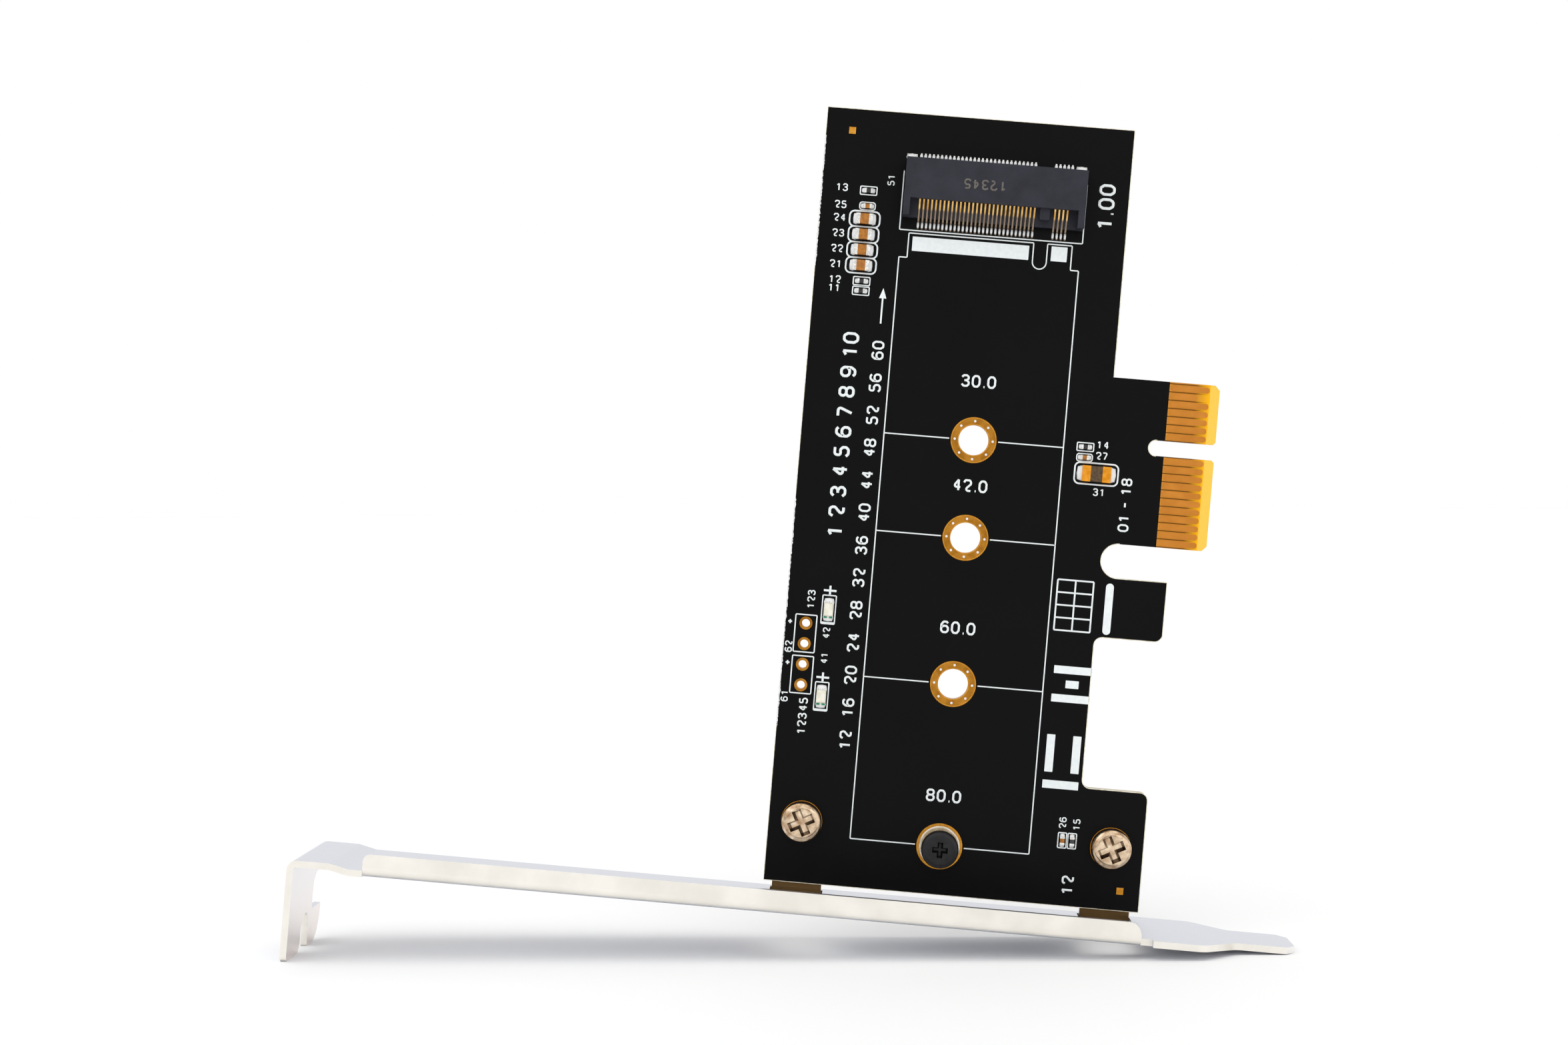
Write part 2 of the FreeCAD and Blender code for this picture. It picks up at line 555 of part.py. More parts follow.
def draw_fold(sketch, face, top):
    """An L-shaped fold of the sheet: a wall whose outer side is at face, and a quarter ring below it."""
    inner, outer = "Dims.bend_inside", "Dims.bend_inside + Dims.sheet_gauge"
    left, high = value_of(face), value_of(top)
    small, large, gauge = value_of(inner), value_of(outer), value_of("Dims.sheet_gauge")
    centre, normal = FreeCAD.Vector(left + large, large, 0), FreeCAD.Vector(0, 0, 1)
    corners = (
        FreeCAD.Vector(left, high, 0), FreeCAD.Vector(left, large, 0), FreeCAD.Vector(left + large, 0, 0),
        FreeCAD.Vector(left + large, gauge, 0), FreeCAD.Vector(left + gauge, large, 0),
        FreeCAD.Vector(left + gauge, high, 0))
    quarter = (math.pi, 1.5 * math.pi)
    outside, foot, inside, back, rim, front = sketch.addGeometry([
        Part.ArcOfCircle(Part.Circle(centre, normal, large), *quarter),
        Part.LineSegment(corners[2], corners[3]),
        Part.ArcOfCircle(Part.Circle(centre, normal, small), *quarter),
        Part.LineSegment(corners[4], corners[5]),
        Part.LineSegment(corners[5], corners[0]),
        Part.LineSegment(corners[0], corners[1])], False)
    sketch.addConstraint([
        Sketcher.Constraint("Coincident", front, 2, outside, 1),
        Sketcher.Constraint("Coincident", outside, 2, foot, 1),
        Sketcher.Constraint("Coincident", foot, 2, inside, 2),
        Sketcher.Constraint("Coincident", inside, 1, back, 1),
        Sketcher.Constraint("Coincident", back, 2, rim, 1),
        Sketcher.Constraint("Coincident", rim, 2, front, 1),
        Sketcher.Constraint("Coincident", inside, 3, outside, 3),
        Sketcher.Constraint("Horizontal", outside, 1, outside, 3),
        Sketcher.Constraint("Vertical", outside, 2, outside, 3),
        Sketcher.Constraint("Horizontal", inside, 1, inside, 3),
        Sketcher.Constraint("Vertical", inside, 2, inside, 3),
        Sketcher.Constraint("Vertical", front),
        Sketcher.Constraint("Vertical", back),
        Sketcher.Constraint("Horizontal", rim)])
    fix_point(sketch, outside, 3, f"{face} + {outer}", outer)
    bind(sketch, top, "DistanceY", -1, 1, rim, 2)
    bind(sketch, outer, "Radius", outside)
    bind(sketch, inner, "Radius", inside)
    return sketch


def fold_flange(body):
    """The stiffening flange along the front edge, turned up towards the board."""
    fold = draw_fold(new_sketch(body, "YZ", "Dims.flange_start"), "0", "Dims.flange_height")
    pad(body, fold, "Dims.flange_end - Dims.flange_start")
    top = ("z", "Dims.flange_height")
    blend(body, "Dims.flange_end_blend", near(("x", "Dims.flange_end"), top))
    blend(body, "Dims.flange_start_blend", near(("x", "Dims.flange_start"), top))


def fold_lugs(body):
    """Two lugs turned up out of the plate behind the board, each with a screw hole."""
    foot = "Dims.datum_from_front + Dims.board_thickness + Dims.copper"
    hole_level = f"{DATUM['z']} - ({CORNER['z']}) + Dims.screw_w"
    for middle in lug_middles():
        fold = draw_fold(new_sketch(body, "YZ", middle), foot, "Dims.lug_top")
        pad(body, fold, "Dims.lug_width", both=True)
        hole = draw_circle(new_sketch(body, "XZ", f"-({foot})"), middle, hole_level, "Dims.lug_hole")
        pocket(body, hole, "Dims.sheet_gauge")
    for middle in lug_middles():
        for way in "-+":
            edge = f"{middle} {way} Dims.lug_width / 2"
            blend(body, "Dims.lug_blend", near(("x", edge), ("z", "Dims.lug_top")))


# ------------------------------------------------------------------ fasteners
def turned(name, across, level, section, **shift):
    """A sub-part turned about an axis square to the board, from (radius, y) corners."""
    body = new_body(name, x=across, z=level, **shift)
    spin(body, draw_outline(new_sketch(body, "XY"), section))
    return body


def cross_recess(body, top, reach, half, depth, turn="0"):
    """The cross that the driver turns, narrower toward its floor and stopped at any angle."""
    cross = new_sketch(body, "XZ", f"-({top})")
    cross.setExpression("AttachmentOffset.Rotation.Angle", turn)
    draw_outline(cross, (
        (f"-{reach}", f"-{half}"), (f"-{half}", f"-{half}"), (f"-{half}", f"-{reach}"),
        (half, f"-{reach}"), (half, f"-{half}"), (reach, f"-{half}"), (reach, half),
        (half, half), (half, reach), (f"-{half}", reach), (f"-{half}", half), (f"-{reach}", half)))
    pocket(body, cross, depth, taper="Dims.recess_taper")


def board_screw(name, across):
    """Pan-head screw that clamps the board against its lug."""
    seat, radius, shank = "-Dims.copper", "Dims.head_radius", "Dims.shank_radius"
    top = f"{seat} - Dims.head_height"
    end = "Dims.board_thickness + Dims.copper + Dims.sheet_gauge + Dims.shank_past_lug"
    body = turned(name, across, "Dims.screw_w", (
        ("0", top), (radius, top), (radius, seat), (shank, seat), (shank, end), ("0", end)))
    blend(body, "Dims.head_blend", near(("x", radius), ("y", top)))
    cross_recess(body, top, "Dims.recess_reach", "Dims.recess_half", "Dims.recess_depth",
                 "Dims.recess_turn")


def module_standoff():
    """Shouldered post in the last module hole, its nut behind and the module's screw in front."""
    seat, radius = "-Dims.copper", "Dims.standoff_radius"
    stud, bore = "Dims.stud_radius", "Dims.standoff_bore"
    top = f"{seat} - Dims.standoff_height"
    rear = "Dims.board_thickness + Dims.copper"
    end = f"{rear} + Dims.nut_thickness + Dims.stud_past_nut"
    depth = f"{top} + Dims.standoff_bore_depth"
    turned("standoff", "0", "0", (
        (bore, top), (radius, top), (radius, seat), (stud, seat), (stud, end), ("0", end),
        ("0", depth), (bore, depth)))

    nut = new_body("standoff_nut", y=rear)
    flats = new_sketch(nut, "XZ")
    corner = "Dims.nut_across_flats / sqrt(3)"
    half = "Dims.nut_across_flats / 2"
    draw_outline(flats, (
        (corner, "0"), (f"{corner} / 2", half), (f"-{corner} / 2", half), (f"-{corner}", "0"),
        (f"-{corner} / 2", f"-{half}"), (f"{corner} / 2", f"-{half}")))
    draw_circle(flats, "0", "0", "Dims.nut_bore")
    pad(nut, flats, "Dims.nut_thickness", backwards=True)

    head_top = f"{top} - Dims.module_head_height"
    head, shank = "Dims.module_head_radius", "Dims.module_shank_radius"
    shank_end = f"{top} + Dims.module_shank_length"
    body = turned("module_screw", "0", "0", (
        ("0", head_top), (head, head_top), (head, top), (shank, top), (shank, shank_end), ("0", shank_end)))
    blend(body, "Dims.module_head_blend", near(("x", head), ("y", head_top)))
    cross_recess(body, head_top, "Dims.module_recess_reach", "Dims.module_recess_half",
                 "Dims.module_recess_depth")


# ------------------------------------------------------------------ chips
def chip_block(name, spot, sizes, upright, shift="0", proud="0"):
    """A block on the board: sizes are length, width and height, shifted along the length."""
    length, width, height = sizes
    along, over = ("Height", "Length") if upright else ("Length", "Height")
    block = doc.addObject("Part::Box", name)
    block.Label = name
    block.setExpression(along, length)
    block.setExpression(over, f"{width} + 2 * {proud}")
    block.setExpression("Width", f"{height} + {proud}")
    main, side = ("z", "x") if upright else ("x", "z")
    centre = {"x": f"Dims.{spot}_u", "z": f"Dims.{spot}_w"}
    place(block, DATUM, y=f"-({height} + {proud}) - Dims.chip_gap",
          **{main: f"{centre[main]} + {shift} - ({length}) / 2",
             side: f"{centre[side]} - ({width}) / 2 - {proud}"})
    return block


def end_caps(spot, length, width, height, cap, upright):
    """The two metal ends of a chip, as one group."""
    ends = doc.addObject("Part::Compound", f"{spot}_ends")
    ends.Label = f"{spot}_ends"
    ends.Links = [
        chip_block(f"{spot}_end_{side}", spot, (cap, width, height), upright,
                   f"{way} * ({length} - {cap}) / 2", "Dims.cap_proud")
        for side, way in (("near", -1), ("far", 1))]
    subparts.append(ends)


def chip(spot, family, upright):
    """A ceramic block between two metal ends."""
    length, width, height, cap = (
        f"Dims.{family}_{measure}" for measure in ("length", "width", "height", "cap"))
    middle = (f"{length} - 2 * {cap}", width, height)
    subparts.append(chip_block(f"{spot}_body", spot, middle, upright))
    end_caps(spot, length, width, height, cap, upright)


def led(spot):
    """A lamp chip: white base, moulded lens on top, a metal pad at each end."""
    length, width, height, cap = "Dims.led_length", "Dims.led_width", "Dims.led_base_height", "Dims.led_cap"
    middle = (f"{length} - 2 * {cap}", width, height)
    subparts.append(chip_block(f"{spot}_base", spot, middle, True))
    end_caps(spot, length, width, height, cap, True)

    lens = new_body(f"{spot}_lens", x=f"Dims.{spot}_u", z=f"Dims.{spot}_w")
    half, reach = f"{width} / 2", "Dims.led_lens_length / 2"
    dome = new_sketch(lens, "XZ", f"Dims.chip_gap + {height}")
    draw_box(dome, f"-{half}", half, f"-{reach}", reach)
    pad(lens, dome, f"Dims.led_lens_height - {height}")
    blend(lens, "Dims.led_lens_blend", near(("y", "-Dims.chip_gap - Dims.led_lens_height")))


# ------------------------------------------------------------------ build
circuit_board()
for hole_name in MODULE_HOLES:
    plated_hole(f"module_hole_plating_{hole_name}", "0", f"Dims.module_hole_{hole_name}",
                "Dims.module_hole", "Dims.module_ring")
for hole_name in ("left", "right"):
    plated_hole(f"screw_hole_plating_{hole_name}", f"Dims.screw_{hole_name}", "Dims.screw_w",
                "Dims.screw_hole", "Dims.screw_ring")
for hole_number in range(HEADER_HOLES):
    plated_hole(f"header_hole_plating_{hole_number + 1}", "Dims.header_u",
                f"Dims.header_top - {hole_number} * Dims.header_pitch",
                "Dims.header_hole", "Dims.header_ring")
edge_fingers("edge_fingers_front", FRONT_FINGERS, "0")
edge_fingers("edge_fingers_rear", REAR_FINGERS, "Dims.board_thickness + Dims.copper")
for mark_name in FIDUCIALS:
    fiducial(mark_name)
socket_housing()
socket_contacts("socket_contacts_lower", LOWER_PATH, "Dims.socket_front",
                ("Dims.lower_first", "Dims.lower_resume"), CONTACTS_LOWER)
socket_contacts("socket_contacts_upper", UPPER_PATH, "Dims.socket_back",
                ("Dims.upper_first", "Dims.upper_resume"), CONTACTS_UPPER)
hold_down("socket_hold_down_left", -1)
hold_down("socket_hold_down_right", 1)
bracket()
board_screw("board_screw_left", "Dims.screw_left")
board_screw("board_screw_right", "Dims.screw_right")
module_standoff()
for chip_name in LARGE_CHIPS:
    chip(chip_name, "large_chip", False)
for chip_name in SMALL_CHIPS:
    chip(chip_name, "small_chip", False)
for chip_name in UPRIGHT_CHIPS:
    chip(chip_name, "small_chip", True)
chip("supply_fuse", "fuse_chip", False)
for led_name in LEDS:
    led(led_name)
doc.recompute()

for item in doc.Objects:
    if {"Invalid", "Error"} & set(item.State):
        raise RuntimeError(f"{item.Name} failed: {item.State}")
for item in subparts:
    if item.Shape.isNull() or not item.Shape.isValid():
        raise RuntimeError(f"{item.Label} has no valid shape")

os.makedirs("parts", exist_ok=True)
for item in subparts:
    item.Shape.exportStep(f"parts/{item.Label}.step")
print(f"{len(subparts)} sub-parts written")
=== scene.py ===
# %% [markdown]
# # A storage adapter card
#
# A black circuit board stands on the edge of a folded steel bracket. A socket at its top takes a
# storage module, and the gold fingers at its right plug into a computer's slot.
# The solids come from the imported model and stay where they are. This lesson gives them their
# finishes and adds what is too thin or too small for the solids: the printed marks, the solder, the
# small round vias and the raw edges of the cuts.

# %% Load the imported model
import json
import math

import bmesh
import bpy
from mathutils import Matrix, Vector


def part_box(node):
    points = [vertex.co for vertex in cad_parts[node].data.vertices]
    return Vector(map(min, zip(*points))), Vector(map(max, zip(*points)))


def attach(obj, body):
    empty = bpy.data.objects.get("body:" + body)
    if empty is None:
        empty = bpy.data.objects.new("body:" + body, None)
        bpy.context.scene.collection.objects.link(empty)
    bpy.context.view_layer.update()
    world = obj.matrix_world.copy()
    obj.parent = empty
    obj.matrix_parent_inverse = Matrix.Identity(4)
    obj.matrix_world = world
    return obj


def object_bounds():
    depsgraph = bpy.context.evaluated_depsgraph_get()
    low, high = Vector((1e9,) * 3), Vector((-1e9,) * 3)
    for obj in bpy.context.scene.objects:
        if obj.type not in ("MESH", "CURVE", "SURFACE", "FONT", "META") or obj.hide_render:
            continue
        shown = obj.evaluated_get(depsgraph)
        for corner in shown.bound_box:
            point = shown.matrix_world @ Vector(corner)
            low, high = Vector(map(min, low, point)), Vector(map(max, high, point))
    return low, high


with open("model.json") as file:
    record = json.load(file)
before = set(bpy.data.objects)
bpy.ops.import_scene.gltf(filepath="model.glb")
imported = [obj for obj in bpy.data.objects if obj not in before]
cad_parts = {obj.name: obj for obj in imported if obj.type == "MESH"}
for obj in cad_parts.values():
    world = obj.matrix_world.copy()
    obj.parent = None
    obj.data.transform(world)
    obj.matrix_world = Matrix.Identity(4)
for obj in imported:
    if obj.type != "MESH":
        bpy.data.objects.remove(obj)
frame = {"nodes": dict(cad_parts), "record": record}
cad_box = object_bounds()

MM = 0.001
print("nodes in the frame:", len(frame["nodes"]))

# %% [markdown]
# ## The card's own directions
#
# A board designer measures everything across the board's face: u to the right and w upward, from the
# centre of the last module hole. Working in those two numbers, in millimetres, keeps every mark
# readable. One matrix then carries a flat drawing onto the face, and the drawing's own height becomes
# the height above the board.

# %% Card datum, read from the solids
def middle(node):
    """Centre of a node's box."""
    low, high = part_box(node)
    return (low + high) / 2


board_low, board_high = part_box("circuit_board")
datum = middle("module_hole_plating_80")
datum.y = board_low.y
CARD = Matrix.Translation(datum) @ Matrix.Rotation(math.radians(90), 4, "X")
BOARD_THICK = (board_high.y - board_low.y) / MM


def card_place(node):
    """A node's (u, w) centre and its size across and up, in millimetres."""
    low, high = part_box(node)
    centre = ((low + high) / 2 - datum) / MM
    return centre.x, centre.z, (high.x - low.x) / MM, (high.z - low.z) / MM


def card_height(node):
    """How far a node stands proud of the board's face, in millimetres."""
    return (datum.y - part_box(node)[0].y) / MM


print("board thickness, mm:", round(BOARD_THICK, 2))

# %% [markdown]
# ## Camera
#
# The card leans, because it rests on the bracket's tab at one end and on the tongue at the other. The
# frame is squared to the bracket, so the camera rolls by about as much instead. A long lens far
# away keeps the board's edges nearly parallel.

# %% Make the camera
CAMERA_PLACE = Vector((6.82, -331.88, 61.19)) * MM
YAW, PITCH, ROLL = math.radians(-2.03), math.radians(-0.74), math.radians(4.78)

camera_data = bpy.data.cameras.new("product_camera")
camera_data.sensor_width, camera_data.lens = 36.0, 63.04
camera_data.clip_start, camera_data.clip_end = 0.01, 20.0
camera = bpy.data.objects.new("product_camera", camera_data)
bpy.context.scene.collection.objects.link(camera)
camera.matrix_world = (
    Matrix.Translation(CAMERA_PLACE)
    @ Matrix.Rotation(-YAW, 4, "Z")
    @ Matrix.Rotation(math.radians(90) + PITCH, 4, "X")
    @ Matrix.Rotation(ROLL, 4, "Z")
)
bpy.context.scene.camera = camera
print("camera distance, m:", round(CAMERA_PLACE.length, 3))

# %% [markdown]
# ## Small tools for finishes
#
# Finishes are picked as sRGB hex values, but light is computed in linear ones, so one function
# turns the first into the second. One more adds a node with its settings, constants and links.

# %% Colour and node helpers
def linear(colour):
    """Linear RGBA from an sRGB hex string."""
    values = [int(colour[i:i + 2], 16) / 255 for i in (1, 3, 5)]
    return [v / 12.92 if v <= 0.04045 else ((v + 0.055) / 1.055) ** 2.4 for v in values] + [1.0]


def add(tree, kind, sockets=None, **settings):
    """Add a node. Sockets are named or numbered, and take a constant, a hex colour or a link."""
    made = tree.nodes.new(kind)
    for name, value in settings.items():
        setattr(made, name, value)
    for key, value in (sockets or {}).items():
        socket = made.inputs[key]
        if isinstance(value, bpy.types.NodeSocket):
            tree.links.new(value, socket)
        else:
            socket.default_value = linear(value) if isinstance(value, str) and value[0] == "#" else value
    return made


def new_material(name, **sockets):
    """A material whose shader gets these constants; names use _ for spaces."""
    made = bpy.data.materials.new(name)
    made.use_nodes = True
    shader = made.node_tree.nodes["Principled BSDF"]
    for key, value in sockets.items():
        shader.inputs[key.replace("_", " ")].default_value = (
            linear(value) if isinstance(value, str) else value)
    return made, made.node_tree, shader


# %% [markdown]
# ## Grain
#
# No real surface has one colour. Most finishes here need a slow drift of colour, a fine grain in the
# gloss, and often a slight roughness. The grain's size is given in millimetres, and the
# noise scale is worked out from it.

# %% Colour drift, gloss grain and bump
def scale_of(size_mm):
    """Noise scale whose features are about this size."""
    return 1 / (size_mm * MM)


def place_and_facing(tree):
    """A surface's place and the way it faces, each split into X, Y and Z."""
    coordinates = add(tree, "ShaderNodeTexCoord").outputs
    return [add(tree, "ShaderNodeSeparateXYZ", {"Vector": coordinates[name]}).outputs
            for name in ("Object", "Normal")]


def grain(tree, shader, dark, light, size_mm, gloss, bump_mm=0.0, fine_mm=0.15):
    """Drift between two colours, gloss between two values, and a fine bump, all in object space."""
    where = add(tree, "ShaderNodeTexCoord").outputs["Object"]
    slow = add(tree, "ShaderNodeTexNoise", {
        "Vector": where, "Scale": scale_of(size_mm), "Detail": 4.0}).outputs["Fac"]
    fine = add(tree, "ShaderNodeTexNoise", {
        "Vector": where, "Scale": scale_of(fine_mm), "Detail": 2.0}).outputs["Fac"]
    spread = add(tree, "ShaderNodeMapRange", {
        "Value": slow, "From Min": 0.35, "From Max": 0.65}).outputs["Result"]
    colour = add(tree, "ShaderNodeMix", {0: spread, 6: dark, 7: light}, data_type="RGBA").outputs[2]
    rough = add(tree, "ShaderNodeMapRange", {
        "Value": fine, "From Min": 0.3, "From Max": 0.7, "To Min": gloss[0], "To Max": gloss[1]})
    tree.links.new(colour, shader.inputs["Base Color"])
    tree.links.new(rough.outputs["Result"], shader.inputs["Roughness"])
    if bump_mm:
        bump = add(tree, "ShaderNodeBump", {
            "Height": fine, "Strength": 1.0, "Distance": bump_mm * MM}).outputs["Normal"]
        tree.links.new(bump, shader.inputs["Normal"])
    return where, colour


def solid(name, dark, light, size_mm, gloss, bump_mm=0.0, fine_mm=0.15, **sockets):
    made, tree, shader = new_material(name, **sockets)
    grain(tree, shader, dark, light, size_mm, gloss, bump_mm, fine_mm)
    return made


# %% [markdown]
# ## Black solder mask over glass laminate
#
# The board is woven glass in epoxy, painted with a black mask that cures to a satin skin with a faint
# orange peel. Its cut edges show the pale glass layers. The plug's end has no mask: each finger's
# copper foot spreads a little past its plated face, a thin brown line of painted shade parts the
# fingers, and the bare laminate past their ends is yellow. The place on the board and the way a face
# looks tell them apart.

# %% Solder mask material
finger_low, finger_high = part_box("edge_fingers_front")
MASK_STOP, KEY_RECESS = 0.22 * MM, 1.0 * MM
PAD_PITCH, PAD_HALF, GAP_HALF = 1.0 * MM, 0.35 * MM, 0.08 * MM
PAD_FADE = 1.6 * MM
BEVEL_LEAN = 0.1


def solder_mask():
    """Satin black mask, pale fibre on the cuts, bare yellow laminate at the plug."""
    made, tree, shader = new_material("black_solder_mask", Specular_IOR_Level=0.09)
    where = add(tree, "ShaderNodeTexCoord").outputs["Object"]
    place, facing = place_and_facing(tree)

    drift = add(tree, "ShaderNodeTexNoise", {"Vector": where, "Scale": scale_of(9), "Detail": 3.0})
    mask = add(tree, "ShaderNodeMix", {0: drift.outputs["Fac"], 6: "#040404", 7: "#09090A"},
               data_type="RGBA").outputs[2]

    layers = add(tree, "ShaderNodeMapping", {"Vector": where, "Scale": (0.6, 6.0, 0.6)})
    weave = add(tree, "ShaderNodeTexNoise", {
        "Vector": layers.outputs["Vector"], "Scale": scale_of(0.5), "Detail": 4.0}).outputs["Fac"]
    fibre = add(tree, "ShaderNodeMix", {0: weave, 6: "#8E8468", 7: "#E6DEC8"},
                data_type="RGBA").outputs[2]

    past, over, lean = (
        add(tree, "ShaderNodeMath", {0: value, 1: edge}, operation="GREATER_THAN").outputs["Value"]
        for value, edge in ((place["X"], finger_low.x - MASK_STOP),
                            (place["Z"], finger_low.z - KEY_RECESS),
                            (facing["X"], BEVEL_LEAN)))
    bare = add(tree, "ShaderNodeMath", {0: past, 1: over}, operation="MULTIPLY").outputs["Value"]
    from_pad = add(tree, "ShaderNodeMath", {
        0: place["Z"], 1: finger_low.z + PAD_HALF}, operation="SUBTRACT").outputs["Value"]
    from_middle = add(tree, "ShaderNodeMath", {
        0: from_pad, 1: PAD_PITCH / 2}, operation="PINGPONG").outputs["Value"]
    # Painted shade: a thin brown line between neighbouring fingers.
    line = add(tree, "ShaderNodeMapRange", {
        "Value": from_middle, "From Min": PAD_PITCH / 2 - GAP_HALF,
        "From Max": PAD_PITCH / 2 - GAP_HALF / 2}).outputs["Result"]
    copper_foot_and_gap_shade = add(tree, "ShaderNodeMix", {0: line, 6: "#C8842F", 7: "#5C3806"}, data_type="RGBA").outputs[2]
    end = add(tree, "ShaderNodeMapRange", {
        "Value": place["X"], "From Min": finger_high.x - PAD_FADE, "From Max": finger_high.x})
    flat = add(tree, "ShaderNodeMix", {0: end.outputs["Result"], 6: copper_foot_and_gap_shade, 7: "#F6B212"},
               data_type="RGBA").outputs[2]
    laminate = add(tree, "ShaderNodeMix", {0: lean, 6: flat, 7: "#F4C852"},
                   data_type="RGBA").outputs[2]

    sideways = add(tree, "ShaderNodeMath", {0: facing["Y"]}, operation="ABSOLUTE")
    cut = add(tree, "ShaderNodeMath", {0: sideways.outputs["Value"], 1: 0.5},
              operation="LESS_THAN").outputs["Value"]
    skin = add(tree, "ShaderNodeMix", {0: cut, 6: mask, 7: fibre}, data_type="RGBA").outputs[2]
    colour = add(tree, "ShaderNodeMix", {0: bare, 6: skin, 7: laminate}, data_type="RGBA").outputs[2]
    tree.links.new(colour, shader.inputs["Base Color"])

    peel = add(tree, "ShaderNodeTexNoise", {"Vector": where, "Scale": scale_of(0.8), "Detail": 2.0})
    gloss = add(tree, "ShaderNodeMapRange", {
        "Value": peel.outputs["Fac"], "To Min": 0.30, "To Max": 0.44}).outputs["Result"]
    tree.links.new(gloss, shader.inputs["Roughness"])
    bump = add(tree, "ShaderNodeBump", {
        "Height": peel.outputs["Fac"], "Strength": 0.6, "Distance": 0.01 * MM}).outputs["Normal"]
    tree.links.new(bump, shader.inputs["Normal"])
    return made


# %% [markdown]
# ## Platings and metals
#
# Immersion gold on copper is thin and grainy, so its rings look brown-gold and satin, while the hard
# gold of the plug's fingers is thicker and brighter. A brighter copy of the same immersion gold is
# painted light on the fiducials, on the rings round the screws and the last hole, and on the rings'
# edges. The screws are nickel with a warm tint, dark on the walls of the cross as painted shade. The
# module's screw is black zinc. The bracket is cold-rolled sheet with a bright plating, tinted by the
# way each face looks as painted reflection: bluish on the plate, paler on the tab's inner face, cream
# along the folded flange. Painted shade makes the tab's inner face duller towards its end, and painted
# shade and reflection make the inner face of the bent lugs brown. The socket's springs are dipped in
# gold only at the tip that touches the module, and in tin at the ends that are soldered, so two lines
# across the board part the three platings. The bare nickel between is painted darker as shade.

# %% Metal materials
LUG_FOOT = board_low.z - 1.6 * MM
RECESS_REACH, RECESS_DEEP = 1.70 * MM, 1.25 * MM
GOLD_LINE, TIN_LINE, DIP_BLUR = datum.z + 77.55 * MM, datum.z + 83.0 * MM, 0.12 * MM


def metal(name, dark, light, size_mm, gloss, bump_mm=0.0, metallic=1.0):
    return solid(name, dark, light, size_mm, gloss, bump_mm, Metallic=metallic)


def bracket_steel():
    """Plated cold-rolled sheet: cream on its fold and bluish on the plate, as painted reflection, and
    brown inside the lugs, as painted shade.
    """
    made, tree, shader = new_material("bright_plated_steel", Metallic=1.0)
    where, cream = grain(tree, shader, "#EFEBE2", "#FAF6EE", 5.0, (0.28, 0.40))
    place, facing = place_and_facing(tree)
    # Painted reflection: faces that don't look forwards or back take a bluish tint, and the tab's inner
    # face a paler one. The flange stays cream.
    sideways = add(tree, "ShaderNodeMath", {0: facing["Y"]}, operation="ABSOLUTE")
    reflection_tint_faces = add(tree, "ShaderNodeMapRange", {
        "Value": sideways.outputs["Value"], "From Min": 0.7, "From Max": 0.4}).outputs["Result"]
    # Painted shade: the tab's inner face grows duller and pinker towards its lower end.
    tab_end_shade = add(tree, "ShaderNodeMapRange", {
        "Value": place["Z"], "From Min": 14 * MM, "From Max": 1 * MM}).outputs["Result"]
    on_tab = add(tree, "ShaderNodeMath", {0: facing["X"], 1: 0.5},
                 operation="GREATER_THAN").outputs["Value"]
    tab_reflection_and_shade = add(tree, "ShaderNodeMix", {0: tab_end_shade, 6: "#F0F1F4", 7: "#EFE6E1"},
              data_type="RGBA").outputs[2]
    plate_and_tab_reflection = add(tree, "ShaderNodeMix", {0: on_tab, 6: "#D6D8DF", 7: tab_reflection_and_shade},
               data_type="RGBA").outputs[2]
    colour = add(tree, "ShaderNodeMix", {0: reflection_tint_faces, 6: cream, 7: plate_and_tab_reflection}, data_type="RGBA").outputs[2]

    # Painted shade and reflection: the lugs' inner faces behind the board are brown, for the board's
    # shadow and its brown lower edge mirrored there.
    above = add(tree, "ShaderNodeMath", {0: place["Z"], 1: LUG_FOOT},
                operation="GREATER_THAN").outputs["Value"]
    inner = add(tree, "ShaderNodeMath", {0: facing["Y"], 1: -0.5},
                operation="LESS_THAN").outputs["Value"]
    behind_board = add(tree, "ShaderNodeMath", {
        0: place["Y"], 1: board_high.y - 0.3 * MM}, operation="GREATER_THAN").outputs["Value"]
    lug_shade = above
    for mask in (inner, behind_board):
        lug_shade = add(tree, "ShaderNodeMath", {0: lug_shade, 1: mask}, operation="MULTIPLY").outputs["Value"]
    colour = add(tree, "ShaderNodeMix", {0: lug_shade, 6: colour, 7: "#624C30"}, data_type="RGBA").outputs[2]
    tree.links.new(colour, shader.inputs["Base Color"])

    drawn = add(tree, "ShaderNodeMapping", {"Vector": where, "Scale": (0.08, 1.0, 1.0)})
    marks = add(tree, "ShaderNodeTexNoise", {
        "Vector": drawn.outputs["Vector"], "Scale": scale_of(0.35), "Detail": 3.0}).outputs["Fac"]
    bump = add(tree, "ShaderNodeBump", {
        "Height": marks, "Strength": 0.3, "Distance": 0.006 * MM}).outputs["Normal"]
    tree.links.new(bump, shader.inputs["Normal"])
    return made


